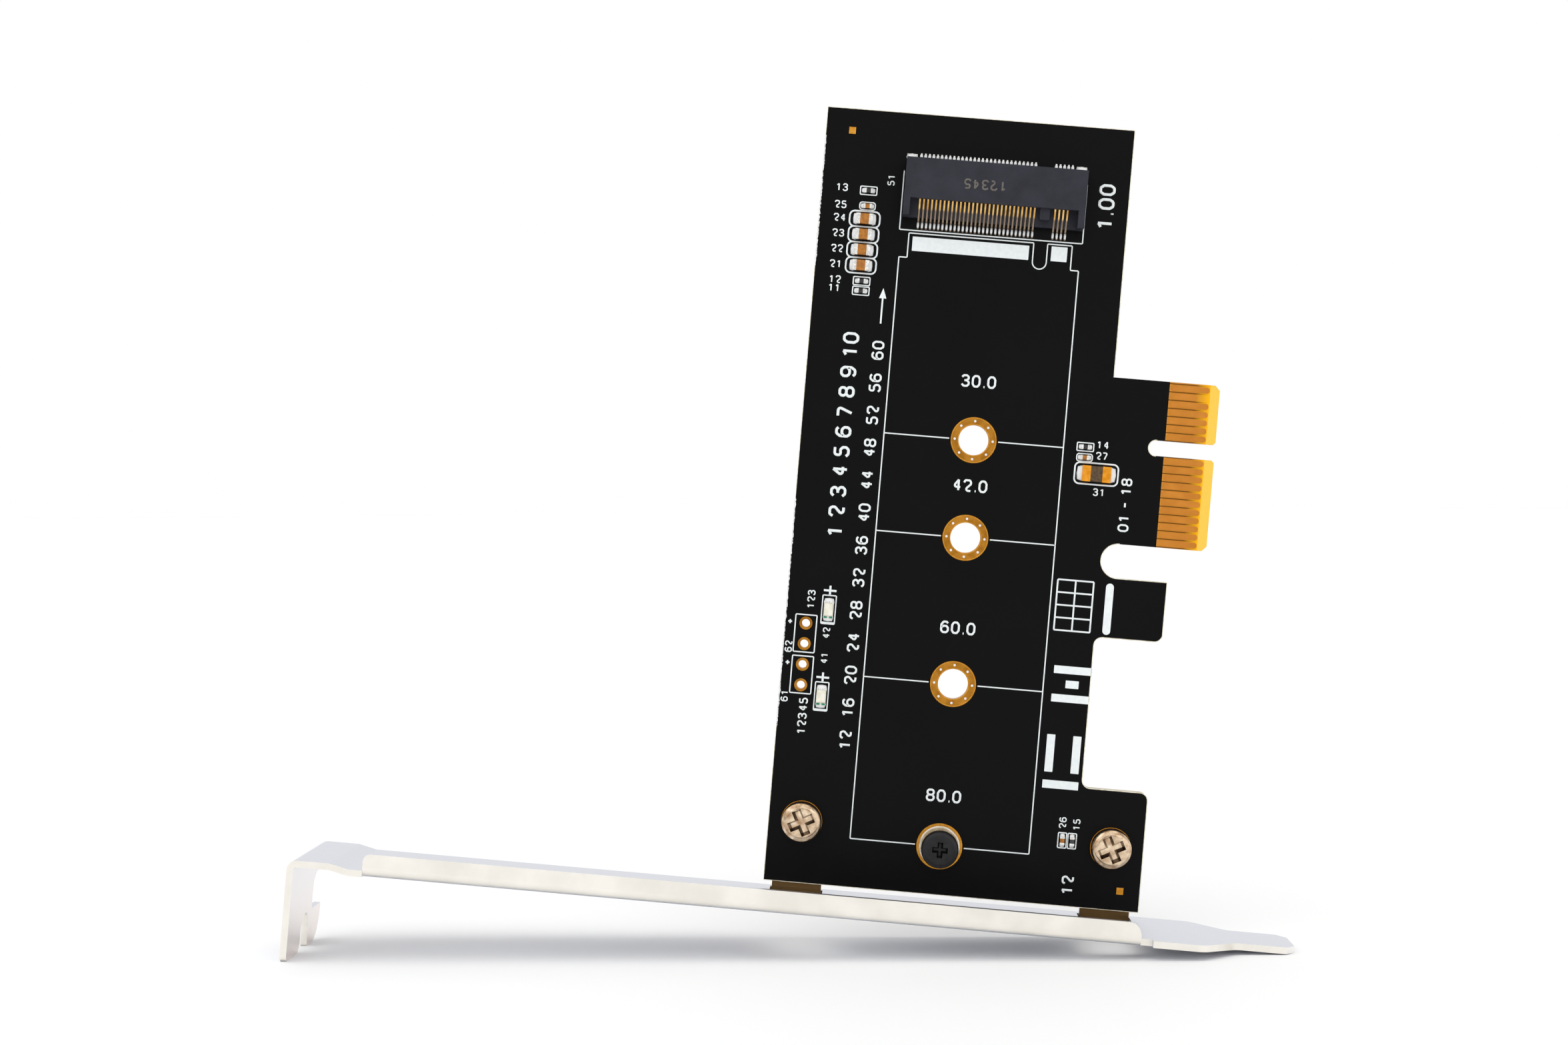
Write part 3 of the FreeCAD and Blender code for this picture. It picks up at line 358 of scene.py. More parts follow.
def driven_nickel(node):
    """Warm nickel, with painted shade darkening the walls of its cross's recess and the floor left
    bright.
    """
    made, tree, shader = new_material(f"warm_nickel_{node}", Metallic=1.0)
    where, plate = grain(tree, shader, "#A98868", "#F0DABC", 1.1, (0.12, 0.24))
    place, facing = place_and_facing(tree)
    flat = add(tree, "ShaderNodeMapRange", {
        "Value": facing["Y"], "From Min": -0.9, "From Max": -0.6}).outputs["Result"]
    centre = middle(node)
    across = add(tree, "ShaderNodeVectorMath", {0: where, 1: (1, 0, 1)}, operation="MULTIPLY")
    apart = add(tree, "ShaderNodeVectorMath", {
        0: across.outputs["Vector"], 1: (centre.x, 0, centre.z)}, operation="DISTANCE").outputs["Value"]
    inside = add(tree, "ShaderNodeMath", {
        0: apart, 1: RECESS_REACH}, operation="LESS_THAN").outputs["Value"]
    shallow = add(tree, "ShaderNodeMath", {
        0: place["Y"], 1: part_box(node)[0].y + RECESS_DEEP}, operation="LESS_THAN").outputs["Value"]
    # Painted shade: the walls of the cross's recess are dark brown.
    recess_shade = flat
    for mask in (inside, shallow):
        recess_shade = add(tree, "ShaderNodeMath", {0: recess_shade, 1: mask}, operation="MULTIPLY").outputs["Value"]
    colour = add(tree, "ShaderNodeMix", {0: recess_shade, 6: plate, 7: "#4A3420"}, data_type="RGBA").outputs[2]
    tree.links.new(colour, shader.inputs["Base Color"])
    return made


def dipped_springs():
    """Thin nickel low down, painted darker as shade, gold at the touching tips, bright tin behind the
    socket.
    """
    made, tree, shader = new_material("gold_dipped_bronze", Metallic=0.85)
    where, gold = grain(tree, shader, "#C8964E", "#EBC47C", 0.8, (0.16, 0.28))
    height = add(tree, "ShaderNodeSeparateXYZ", {"Vector": where}).outputs["Z"]
    # Bare nickel below the gold line, darker than nickel's own colour as painted shade.
    colour = "#94816E"
    for line, plating in ((GOLD_LINE, gold), (TIN_LINE, "#F2F2EE")):
        dipped = add(tree, "ShaderNodeMapRange", {
            "Value": height, "From Min": line - DIP_BLUR, "From Max": line + DIP_BLUR})
        colour = add(tree, "ShaderNodeMix", {0: dipped.outputs["Result"], 6: colour, 7: plating},
                     data_type="RGBA").outputs[2]
    tree.links.new(colour, shader.inputs["Base Color"])
    return made


# %% [markdown]
# ## Plastics, ceramics and ink
#
# The socket is glass-filled nylon that stands the soldering oven: matt, bluish black, with a fine
# sandy skin. The chips are ceramic, tan in the capacitors and glazed black in the resistors. The
# marking ink is a white epoxy, printed through a screen, so it is matt and slightly uneven.

# %% Moulded, fired and printed materials
FINISHES = {
    "solder_mask_laminate": solder_mask(),
    "plated_bracket_steel": bracket_steel(),
    "gold_plate": metal("immersion_gold", "#A06A20", "#C08430", 1.2, (0.30, 0.42), 0.004),
    "finger_gold": metal("hard_gold_fingers", "#C88034", "#D68C3A", 2.5, (0.28, 0.40), 0.003),
    # A brighter copy of the immersion gold: painted light on the fiducials, the rings round the screws
    # and the last hole, and the rings' edges.
    "target_gold": metal("bright_immersion_gold", "#C88628", "#E0A040", 0.5, (0.30, 0.42), 0.004),
    "contact_gold": dipped_springs(),
    "tin_plate": metal("satin_tin_plate", "#C4C4C0", "#E4E4E0", 0.5, (0.25, 0.45), 0.004),
    "solder_tin": metal("bright_tin_solder", "#D2D2CE", "#FAFAF6", 0.25, (0.2, 0.4), 0.004, 0.6),
    "board_screw_left": driven_nickel("board_screw_left"),
    "board_screw_right": driven_nickel("board_screw_right"),
    "standoff_nickel": metal("nickel_plate", "#C2B8A6", "#DAD2C4", 1.5, (0.18, 0.30)),
    "black_zinc": metal("black_zinc_plate", "#101012", "#1D1D1F", 0.8, (0.34, 0.46), 0.004, 0.4),
    "socket_nylon": solid("glass_filled_nylon", "#23242C", "#2D2E37", 3.0, (0.42, 0.58), 0.012, 0.1,
                          Specular_IOR_Level=0.25),
    "led_resin": solid("cast_clear_resin", "#DEDAC6", "#F2EFE0", 0.9, (0.16, 0.28), Coat_Weight=0.4),
    "led_base": solid("white_alumina", "#DEDED6", "#F0F0EA", 0.6, (0.45, 0.6)),
    "resistor_glaze": solid("black_glaze", "#161618", "#2C2C30", 0.3, (0.25, 0.4), Coat_Weight=0.5),
    "fuse_coat": solid("dark_resin_window", "#3A2810", "#5C4420", 0.3, (0.3, 0.45)),
    "fuse_copper": metal("flashed_copper_caps", "#D88A1C", "#F2A63A", 0.7, (0.34, 0.5), 0.004),
    "capacitor_ceramic": solid("barium_titanate", "#985C10", "#BA7618", 0.4, (0.35, 0.5), 0.003),
    "marking_ink": solid("white_epoxy_ink", "#E6ECED", "#EDF2F2", 0.5, (0.5, 0.65), 0.001, 0.08,
                         Specular_IOR_Level=0.3),
    "bare_laminate": solid("cut_glass_laminate", "#C9BFA2", "#F3EEDD", 0.4, (0.5, 0.7), 0.01),
    "led_green": solid("green_polarity_paint", "#0C7A52", "#1C9A6A", 0.3, (0.4, 0.5)),
    "laser_mark": solid("laser_marked_nylon", "#57524D", "#6A645E", 0.3, (0.6, 0.7)),
}
OWN_FINISH = {
    "finger_gold": ("edge_fingers_front", "edge_fingers_rear"),
    # These take the brighter copy of the gold as painted light.
    "target_gold": ("fiducial_upper", "fiducial_lower", "module_hole_plating_80",
                    "screw_hole_plating_left", "screw_hole_plating_right"),
    "board_screw_left": ("board_screw_left",), "board_screw_right": ("board_screw_right",),
}
own = {node: finish for finish, nodes in OWN_FINISH.items() for node in nodes}
for row in frame["record"]["subparts"]:
    body = frame["nodes"][row["node"]].data
    body.materials.clear()
    body.materials.append(FINISHES[own.get(row["node"], row["material_slot"])])
print("finishes:", len(FINISHES))

# %% [markdown]
# ## Tools for small repeated things
#
# Printed lines, vias, solder joints and broken fibres repeat by a rule, so Geometry Nodes make them.
# Each tree takes its sizes as named inputs and ends in real geometry with a finish on it. The result
# is kept as a plain mesh and laid on the card.

# %% Build, run and keep a node tree
def new_object(name, data):
    made = bpy.data.objects.new(name, data)
    bpy.context.scene.collection.objects.link(made)
    return made


def group_tree(name, sizes):
    """An empty Geometry Nodes tree with one geometry and some named sizes going in."""
    tree = bpy.data.node_groups.new(name, "GeometryNodeTree")
    tree.interface.new_socket("Geometry", in_out="INPUT", socket_type="NodeSocketGeometry")
    for size in sizes:
        tree.interface.new_socket(size, in_out="INPUT", socket_type="NodeSocketFloat")
    tree.interface.new_socket("Geometry", in_out="OUTPUT", socket_type="NodeSocketGeometry")
    return tree, tree.nodes.new("NodeGroupInput").outputs


def close_tree(tree, geometry, finish):
    """End a tree: real geometry, with its finish."""
    real = add(tree, "GeometryNodeRealizeInstances", {"Geometry": geometry})
    dressed = add(tree, "GeometryNodeSetMaterial", {
        "Geometry": real.outputs["Geometry"], "Material": FINISHES[finish]})
    add(tree, "NodeGroupOutput", {"Geometry": dressed.outputs["Geometry"]})


def grow(source, tree, **sizes):
    """Run a tree on an object, with sizes in millimetres, and keep only the plain mesh."""
    modifier = source.modifiers.new("grow", "NODES")
    modifier.node_group = tree
    for item in tree.interface.items_tree:
        key = item.name.replace(" ", "_").lower()
        if item.in_out == "INPUT" and key in sizes:
            modifier[item.identifier] = sizes[key] * MM
    graph = bpy.context.evaluated_depsgraph_get()
    mesh = bpy.data.meshes.new_from_object(source.evaluated_get(graph), depsgraph=graph)
    bpy.data.objects.remove(source)
    return mesh


INK_STEP, INK_STACK = 0.003, 5


def paths_object(paths):
    """A curve of straight runs from (u, w) points, a little apart in height, as layers of ink are.

    A closed path repeats its first point.
    """
    curve = bpy.data.curves.new("paths", "CURVE")
    curve.dimensions = "3D"
    for number, path in enumerate(paths):
        closed = path[0] == path[-1]
        points = path[:-1] if closed else path
        spline = curve.splines.new("POLY")
        spline.points.add(len(points) - 1)
        for point, (u, w) in zip(spline.points, points):
            point.co = (u * MM, w * MM, number % INK_STACK * INK_STEP * MM, 1)
        spline.use_cyclic_u = closed
    return new_object("paths", curve)


def spots_object(spots):
    """Loose points at (u, w), each carrying the size of what will stand there."""
    mesh = bpy.data.meshes.new("spots")
    mesh.from_pydata([(u * MM, w * MM, 0) for u, w, *_ in spots], [], [])
    sizes = mesh.attributes.new("size", "FLOAT_VECTOR", "POINT")
    for entry, (_, _, *size) in zip(sizes.data, spots):
        entry.vector = [side * MM for side in size] if size else (MM, MM, MM)
    return new_object("spots", mesh)


def piece(name, meshes, level=0.0):
    """Join grown meshes into one object of the frame, laid on the card at a height in millimetres."""
    work = bmesh.new()
    for mesh in meshes:
        work.from_mesh(mesh)
    joined = bpy.data.meshes.new(name)
    work.to_mesh(joined)
    work.free()
    joined.materials.append(meshes[0].materials[0])
    for mesh in meshes:
        bpy.data.meshes.remove(mesh)
    joined.transform(CARD @ Matrix.Translation((0, 0, level * MM)))
    made = new_object(name, joined)
    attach(made, "root")
    print(name, "has", len(joined.polygons), "faces")


# %% [markdown]
# ## Printed lines
#
# The white marks are screen-printed. The tree rounds each corner of a line, moves the line inward if
# it is to lie inside an edge, and sweeps a flat section of ink along it.

# %% Node tree for printed lines
INK = 0.03
INK_LEVEL = INK / 2 - 0.01


def line_tree(name, finish):
    tree, given = group_tree(name, ("Width", "Thickness", "Corner Radius", "Inset"))
    rounded = add(tree, "GeometryNodeFilletCurve", {
        "Curve": given["Geometry"], "Radius": given["Corner Radius"],
        "Limit Radius": True, "Count": 5}, mode="POLY")
    inward = add(tree, "ShaderNodeVectorMath", {
        0: (0, 0, 1), 1: add(tree, "GeometryNodeInputTangent").outputs["Tangent"]},
        operation="CROSS_PRODUCT").outputs["Vector"]
    shift = add(tree, "ShaderNodeVectorMath", {0: inward, "Scale": given["Inset"]}, operation="SCALE")
    moved = add(tree, "GeometryNodeSetPosition", {
        "Geometry": rounded.outputs["Curve"], "Offset": shift.outputs["Vector"]})
    level = add(tree, "GeometryNodeSetCurveNormal", {"Curve": moved.outputs["Geometry"]}, mode="Z_UP")
    section = add(tree, "GeometryNodeCurvePrimitiveQuadrilateral", {
        "Width": given["Width"], "Height": given["Thickness"]})
    swept = add(tree, "GeometryNodeCurveToMesh", {
        "Curve": level.outputs["Curve"], "Profile Curve": section.outputs["Curve"], "Fill Caps": True})
    close_tree(tree, swept.outputs["Mesh"], finish)
    return tree


INK_LINES = line_tree("ink_lines", "marking_ink")


def ink_lines(paths, width=0.15, corner_radius=0.12):
    return grow(paths_object(paths), INK_LINES, width=width, thickness=INK, corner_radius=corner_radius)


# %% [markdown]
# ## Figures drawn with a pen
#
# Circuit boards carry a plotter's lettering: each figure is a few strokes of the same pen. So the
# figures are paths too, on a grid four units wide and six high, and the tree above inks them.

# %% Strokes of the ten figures
STROKES = {
    "0": [[(1, 0), (0, 1.5), (0, 4.5), (1, 6), (3, 6), (4, 4.5), (4, 1.5), (3, 0), (1, 0)]],
    "1": [[(0.6, 4.7), (2.3, 5.8)], [(2.3, 6), (2.3, 0)]],
    "2": [[(0, 4.6), (0.6, 6), (3.4, 6), (4, 4.8), (4, 3.8), (0, 0), (4, 0)]],
    "3": [[(0, 5), (1, 6), (3, 6), (3.8, 5), (3.8, 4.1), (2.6, 3.2), (1.4, 3.2)],
          [(2.6, 3.2), (4, 2.3), (4, 1), (3, 0), (1, 0), (0, 1.1)]],
    "4": [[(3.1, 6), (0, 1.8), (4.2, 1.8)], [(3.1, 6), (3.1, 0)]],
    "5": [[(3.8, 6), (0.6, 6), (0.2, 3.2), (2.8, 3.6), (4, 2.6), (4, 1), (3, 0), (1, 0), (0, 1)]],
    "6": [[(3.8, 5.2), (3, 6), (1.2, 6), (0, 4.4), (0, 1.2), (1, 0), (3, 0), (4, 1), (4, 2.6),
           (3, 3.6), (1.2, 3.6), (0.4, 2.8)]],
    "7": [[(0, 6), (4, 6), (1.5, 0)]],
    "8": [[(1, 3.1), (0.2, 4), (0.2, 5.2), (1, 6), (3, 6), (3.8, 5.2), (3.8, 4), (3, 3.1), (1, 3.1)],
          [(1, 3.1), (0, 2.2), (0, 0.9), (1, 0), (3, 0), (4, 0.9), (4, 2.2), (3, 3.1)]],
    "9": [[(0.2, 0.8), (1, 0), (2.8, 0), (4, 1.6), (4, 4.8), (3, 6), (1, 6), (0, 5), (0, 3.4),
           (1, 2.4), (2.8, 2.4), (3.6, 3.2)]],
    ".": [[(0.2, 0.1), (0.8, 0.1)]],
    "-": [[(0.6, 3), (3.4, 3)]],
    "+": [[(0.4, 3), (3.6, 3)], [(2, 1.4), (2, 4.6)]],
    " ": [],
}
FIGURE_WIDE, FIGURE_HIGH, FIGURE_STEP, DOT_STEP = 4.0, 6.0, 6.3, 2.8
FIGURE_NARROW = 0.97
PEN_SHARE, BEND_SHARE = 0.165, 0.14


def figure_paths(words, u, w, height, turn=0):
    """Stroke paths of a row of figures this high over the pen, centred at (u, w), turned by degrees."""
    scale = height * (1 - PEN_SHARE) / FIGURE_HIGH
    across, strokes = 0.0, []
    for figure in words:
        strokes += [[(x + across, y) for x, y in stroke] for stroke in STROKES[figure]]
        across += DOT_STEP if figure in ". " else FIGURE_STEP
    half = (across - FIGURE_STEP + FIGURE_WIDE) / 2
    cos, sin = math.cos(math.radians(turn)), math.sin(math.radians(turn))
    placed = []
    for stroke in strokes:
        flat = [((x - half) * scale * FIGURE_NARROW, (y - FIGURE_HIGH / 2) * scale) for x, y in stroke]
        placed.append([(u + x * cos - y * sin, w + x * sin + y * cos) for x, y in flat])
    return placed


# %% [markdown]
# ## What is printed
#
# The outline shows where a module lies, with the notch of its key, and a line across at each hole
# tells where a module of that length ends. A small box round each chip makes a missing one plain.

# %% Shapes of the outlines
def box_path(u, w, across, up):
    """A closed rectangle round a centre."""
    a, b = across / 2, up / 2
    corners = [(u - a, w - b), (u + a, w - b), (u + a, w + b), (u - a, w + b)]
    return corners + corners[:1]


def arc_path(u, w, radius, start, end, steps=12):
    """Points along an arc, with angles in degrees."""
    turns = [math.radians(start + (end - start) * i / steps) for i in range(steps + 1)]
    return [(u + radius * math.cos(t), w + radius * math.sin(t)) for t in turns]


def ring_path(u, w, radius, steps=48):
    """A closed circle."""
    around = arc_path(u, w, radius, 0, 360, steps)
    return around[:-1] + around[:1]


def node_boxes(nodes, across, up):
    """Equal boxes round the centres of some nodes."""
    return [box_path(*card_place(node)[:2], across, up) for node in nodes]


MODULE_HALF, MODULE_STEP, SHOULDER, MODULE_TOP = 11.0, 10.0, 71.65, 74.65
KEY_U, KEY_HALF, KEY_BOTTOM = 6.15, 0.85, 71.5
SOCKET_HALF, SOCKET_LOW, SOCKET_HIGH = 11.2, 75.0, 82.2
HEADER_LEVELS, RING_CLEAR = (24.65, 19.57), 3.0
HOLE_LEVELS = [card_place(f"module_hole_plating_{size}")[1] for size in ("30", "42", "60")]

module_outline = (
    [(-RING_CLEAR, 0), (-MODULE_HALF, 0), (-MODULE_HALF, SHOULDER), (-MODULE_STEP, SHOULDER),
     (-MODULE_STEP, MODULE_TOP), (KEY_U - KEY_HALF, MODULE_TOP)]
    + arc_path(KEY_U, KEY_BOTTOM + KEY_HALF, KEY_HALF, 180, 360)
    + [(KEY_U + KEY_HALF, MODULE_TOP), (MODULE_STEP, MODULE_TOP), (MODULE_STEP, SHOULDER),
       (MODULE_HALF, SHOULDER), (MODULE_HALF, 0), (RING_CLEAR, 0)])
cross_lines = [
    [(side * RING_CLEAR, level), (side * MODULE_HALF, level)]
    for level in HOLE_LEVELS for side in (-1, 1)]
socket_line = [(-SOCKET_HALF, SOCKET_HIGH), (-SOCKET_HALF, SOCKET_LOW), (SOCKET_HALF, SOCKET_LOW),
               (SOCKET_HALF, SOCKET_HIGH)]
header_u = card_place("header_hole_plating_1")[0]
header_boxes = [box_path(header_u, level, 2.6, 4.6) for level in HEADER_LEVELS]
resistor_boxes = node_boxes([f"resistor_{place}_body" for place in ("socket", "led_1", "led_2", "edge")],
                            2.02, 1.0)
capacitor_boxes = node_boxes([f"capacitor_{place}_body" for place in ("socket", "edge")], 1.9, 0.92)
upright_boxes = node_boxes(["capacitor_lower_body", "resistor_lower_body"], 1.02, 1.85)
led_boxes = node_boxes(["led_upper_base", "led_lower_base"], 1.65, 3.5)

bulk_boxes = node_boxes([f"capacitor_bulk_{number}_body" for number in (1, 2, 3, 4)], 3.7, 1.9)
fuse_box = node_boxes(["supply_fuse_body"], 5.3, 2.6)
BAR_DROP, BAR_REACH, PLUS_RISE, PLUS_REACH, PLUS_SPAN = 1.66, 0.82, 2.34, 0.78, (1.85, 2.95)
led_bars, led_pluses = [], []
for u, w in (card_place(node)[:2] for node in ("led_upper_base", "led_lower_base")):
    led_bars.append([(u - BAR_REACH, w - BAR_DROP), (u + BAR_REACH, w - BAR_DROP)])
    led_pluses += [[(u - PLUS_REACH, w + PLUS_RISE), (u + PLUS_REACH, w + PLUS_RISE)],
                   [(u, w + PLUS_SPAN[0]), (u, w + PLUS_SPAN[1])]]
print_meshes = [
    ink_lines([module_outline, socket_line, *cross_lines, *header_boxes, *resistor_boxes,
               *upright_boxes, *led_boxes]),
    ink_lines(capacitor_boxes, corner_radius=0.3),
    ink_lines(bulk_boxes + fuse_box, width=0.2, corner_radius=0.6),
    ink_lines(led_bars, width=0.3),
    ink_lines(led_pluses, width=0.26),
]

# %% [markdown]
# ## Numbers
#
# The four numbers in the middle say how far each hole is from the socket, the column beside them is a
# ruler from the last hole, and the small ones count the parts.

# %% Place the numbers
RULER_START, RULER_END, RULER_STEP, RULER_U = 12, 60, 4, -12.6
COUNTS = (
    (-18.65, (("13", 79.6), ("25", 77.5), ("24", 75.9), ("23", 74.0), ("22", 72.1), ("21", 70.2))),
    (-18.6, (("12", 68.3), ("11", 67.25))),
    (15.75, (("14", 50.7), ("27", 49.35), ("31", 44.9))),
)
LABELS = {
    2.0: [("1 2 3 4 5 6 7 8 9 10", -16.0, 49.35, 90), ("1.00", 13.7, 79.7, 90)],
    1.55: [("30.0", 0, 57.2, 0), ("42.0", 0, 44.4, 0), ("60.0", 0, 26.9, 0), ("80.0", 0, 6.2, 0)],
    1.5: [(str(mark), RULER_U, mark, 90) for mark in range(RULER_START, RULER_END + 1, RULER_STEP)]
         + [("12", 16.0, -3.4, 90)],
    1.35: [("01 - 18", 19.06, 43.6, 90)],
    1.1: [("12345", -18.1, 14.5, 90), ("+", -20.55, 26.0, 0), ("+", -20.45, 20.95, 0)],
    0.95: [("123", -18.2, 28.9, 90)] + [(row, u, w, 0) for u, column in COUNTS for row, w in column],
    0.9: [("26", 14.8, 4.2, 90), ("15", 16.5, 4.1, 90), ("51", -12.7, 80.9, 90),
           ("42", -16.0, 24.9, 90), ("41", -16.0, 21.8, 90), ("62", -20.5, 22.9, 90),
           ("61", -20.5, 16.8, 90)],
}
for height, rows in LABELS.items():
    strokes = [stroke for row, u, w, turn in rows for stroke in figure_paths(row, u, w, height, turn)]
    print_meshes.append(ink_lines(strokes, width=PEN_SHARE * height, corner_radius=BEND_SHARE * height))

# %% [markdown]
# ## Solid fields
#
# Large white areas are printed too: two fields under the socket where the module's end would show, a
# bar beside the leg, two groups of plain bars and the arrow. A grid of lines takes a date.

# %% Solid fields of ink
def slab_mesh(outlines, thick, finish):
    """Flat closed blocks over runs of (u, w) points."""
    work = bmesh.new()
    for points in outlines:
        low = [work.verts.new((u * MM, w * MM, -thick * MM / 2)) for u, w in points]
        high = [work.verts.new((u * MM, w * MM, thick * MM / 2)) for u, w in points]
        work.faces.new(high)
        work.faces.new(low[::-1])
        for i, (a, b) in enumerate(zip(low, high)):
            j = (i + 1) % len(points)
            work.faces.new((a, low[j], high[j], b))
    mesh = bpy.data.meshes.new("slab")
    work.to_mesh(mesh)
    work.free()
    mesh.materials.append(FINISHES[finish])
    return mesh


def bar_points(u, w, across, up, rounding=0.05):
    """Corners of a bar with round corners."""
    a, b = across / 2 - rounding, up / 2 - rounding
    points = []
    for start, (x, y) in zip((0, 90, 180, 270), ((a, b), (-a, b), (-a, -b), (a, -b))):
        points += arc_path(u + x, w + y, rounding, start, start + 90, 4)
    return points


# Half the arrow's width at each level, from its foot to its tip.
ARROW_U, ARROW = -12.55, ((0.10, 63.3), (0.10, 66.4), (0.45, 66.4), (0, 67.65))
DATE_U, DATE_W, DATE_HALF, DATE_TALL = 13.9, 30.8, 2.2, 3.1
BARS = (
    (-2.36, 73.38, 14.28, 1.75), (8.48, 73.5, 1.95, 1.8), (18.1, 30.75, 0.96, 6.3, 0.47),
    (14.5, 22.9, 4.7, 0.95), (14.45, 19.4, 4.7, 0.95), (14.5, 21.15, 1.6, 0.95),
    (14.1, 8.8, 4.4, 1.0), (12.5, 12.6, 1.0, 4.6), (15.7, 12.6, 1.0, 4.6),
)
arrow = [(ARROW_U + half, w) for half, w in ARROW] + [(ARROW_U - half, w) for half, w in ARROW[2::-1]]
fields = [bar_points(*bar) for bar in BARS] + [arrow]
print_meshes.append(slab_mesh(fields, INK, "marking_ink"))
date_box = [box_path(DATE_U, DATE_W, 2 * DATE_HALF, 2 * DATE_TALL)] + [
    [(DATE_U - DATE_HALF, DATE_W + step), (DATE_U + DATE_HALF, DATE_W + step)]
    for step in (-DATE_TALL / 2, 0, DATE_TALL / 2)] + [
    [(DATE_U, DATE_W - DATE_TALL), (DATE_U, DATE_W + DATE_TALL)]]
print_meshes.append(ink_lines(date_box, width=0.2))
piece("screen_print", print_meshes, level=INK_LEVEL)

# %% [markdown]
# ## Faint number on the socket
#
# A laser burns a small number into the socket's roof, only a little paler than the nylon.

# %% Laser mark
MARK_TREE = line_tree("laser_lines", "laser_mark")
mark_paths = figure_paths("12345", u=-1.3, w=80.75, height=1.25, turn=180)
mark_mesh = grow(paths_object(mark_paths), MARK_TREE, width=0.22, thickness=INK, corner_radius=0.2)
piece("socket_laser_mark", [mark_mesh],
      level=card_height("socket_housing") + INK_LEVEL)

# %% [markdown]
# ## Raw edge of the board
#
# A router cuts the board free and leaves a thin rim of pale laminate where the mask chips away. The
# rim follows the edges that bound the solid's front face, put in order.

# %% Read the outline and lay the rim
WELD, SKIN_DEEP = 0.001 * MM, 0.01 * MM


def face_outline(node):
    """The outer edge of a node's front face, as (u, w) points in order, anticlockwise."""
    work = bmesh.new()
    work.from_mesh(frame["nodes"][node].data)
    bmesh.ops.remove_doubles(work, verts=work.verts, dist=WELD)
    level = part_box(node)[0].y + SKIN_DEEP
    front = {face for face in work.faces if all(vert.co.y < level for vert in face.verts)}
    onward = {}
    for edge in work.edges:
        if sum(face in front for face in edge.link_faces) == 1:
            for vert in edge.verts:
                onward.setdefault(vert, []).append(edge.other_vert(vert))
    loops = []
    while onward:
        vert = next(iter(onward))
        loop = []
        while vert in onward:
            loop.append(vert)
            ahead = [other for other in onward.pop(vert) if other in onward]
            vert = ahead[0] if ahead else None
        loops.append([((v.co.x - datum.x) / MM, (v.co.z - datum.z) / MM) for v in loop])
    work.free()
    outline = max(loops, key=lambda loop: max(u for u, _ in loop) - min(u for u, _ in loop))
    turned = zip(outline, outline[1:] + outline[:1])
    area = sum(a[0] * b[1] - b[0] * a[1] for a, b in turned)
    return outline if area > 0 else outline[::-1]


def masked_runs(outline, plug_u, plug_w):
    """The outline without its bare plug, as open runs of points."""
    kept = [u < plug_u or w < plug_w for u, w in outline]
    first = next(i for i in range(len(outline)) if kept[i] and not kept[i - 1])
    runs, ahead = [[]], list(range(first, len(outline))) + list(range(first))
    for i in ahead:
        if kept[i]:
            runs[-1].append(outline[i])
        elif runs[-1]:
            runs.append([])
    return [run for run in runs if len(run) > 1]


RIM_WIDE = 0.09
PLUG_U, PLUG_W = (finger_low.x - MASK_STOP - datum.x) / MM, (finger_low.z - KEY_RECESS - datum.z) / MM
rim_tree = line_tree("rim_lines", "bare_laminate")
rim_mesh = grow(paths_object(masked_runs(face_outline("circuit_board"), PLUG_U, PLUG_W)), rim_tree,
                width=RIM_WIDE, thickness=INK, corner_radius=0.0, inset=RIM_WIDE / 2)
piece("laminate_rim", [rim_mesh], level=INK_LEVEL)

# %% [markdown]
# ## Broken fibres
#
# Boards are made side by side in a panel and snapped apart along a scored line, so two stretches of
# the left edge end in torn glass fibre. The tree walks along them and sets a small sliver at each
# step, turned and sized at random from a fixed seed.

# %% Node tree for torn fibre
def fibre_tree():
    tree, given = group_tree("torn_fibre", ("Spacing", "Sliver"))
    walked = add(tree, "GeometryNodeResampleCurve", {
        "Curve": given["Geometry"], "Length": given["Spacing"]}, mode="LENGTH")
    sliver = add(tree, "GeometryNodeMeshCube", {"Size": (0.5, 1.6, 0.9)})
    turn = add(tree, "FunctionNodeRandomValue", {
        "Min": (-0.35, -0.35, -0.3), "Max": (0.35, 0.35, 0.3), "Seed": 3}, data_type="FLOAT_VECTOR")
    stretch = add(tree, "FunctionNodeRandomValue", {
        "Min": (0.5, 0.3, 0.5), "Max": (1.0, 1.3, 1.0), "Seed": 5}, data_type="FLOAT_VECTOR")
    size = add(tree, "ShaderNodeVectorMath", {
        0: stretch.outputs["Value"], "Scale": given["Sliver"]}, operation="SCALE")
    placed = add(tree, "GeometryNodeInstanceOnPoints", {
        "Points": walked.outputs["Curve"], "Instance": sliver.outputs["Mesh"],
        "Rotation": turn.outputs["Value"], "Scale": size.outputs["Vector"]})
    close_tree(tree, placed.outputs["Instances"], "bare_laminate")
    return tree


TORN_RUNS, TORN_INSET, TORN_LEVEL = ((13.0, 41.0), (70.0, 85.5)), 0.05, -0.07
torn_u = (board_low.x - datum.x) / MM + TORN_INSET
fibre_mesh = grow(paths_object([[(torn_u, start), (torn_u, end)] for start, end in TORN_RUNS]),
                  fibre_tree(), spacing=0.24, sliver=0.32)
piece("torn_fibre", [fibre_mesh], level=TORN_LEVEL)

# %% [markdown]
# ## Vias in the pads
#
# Each free module hole has eight tiny plated holes round it that tie its gold ring to the copper inside,
# so that the ring can't lift when the screw is turned. The tree sets a circle of dots at each hole. The
# ring's two edges are thinner and catch more light, so a narrow brighter line, a painted highlight,
# follows each.

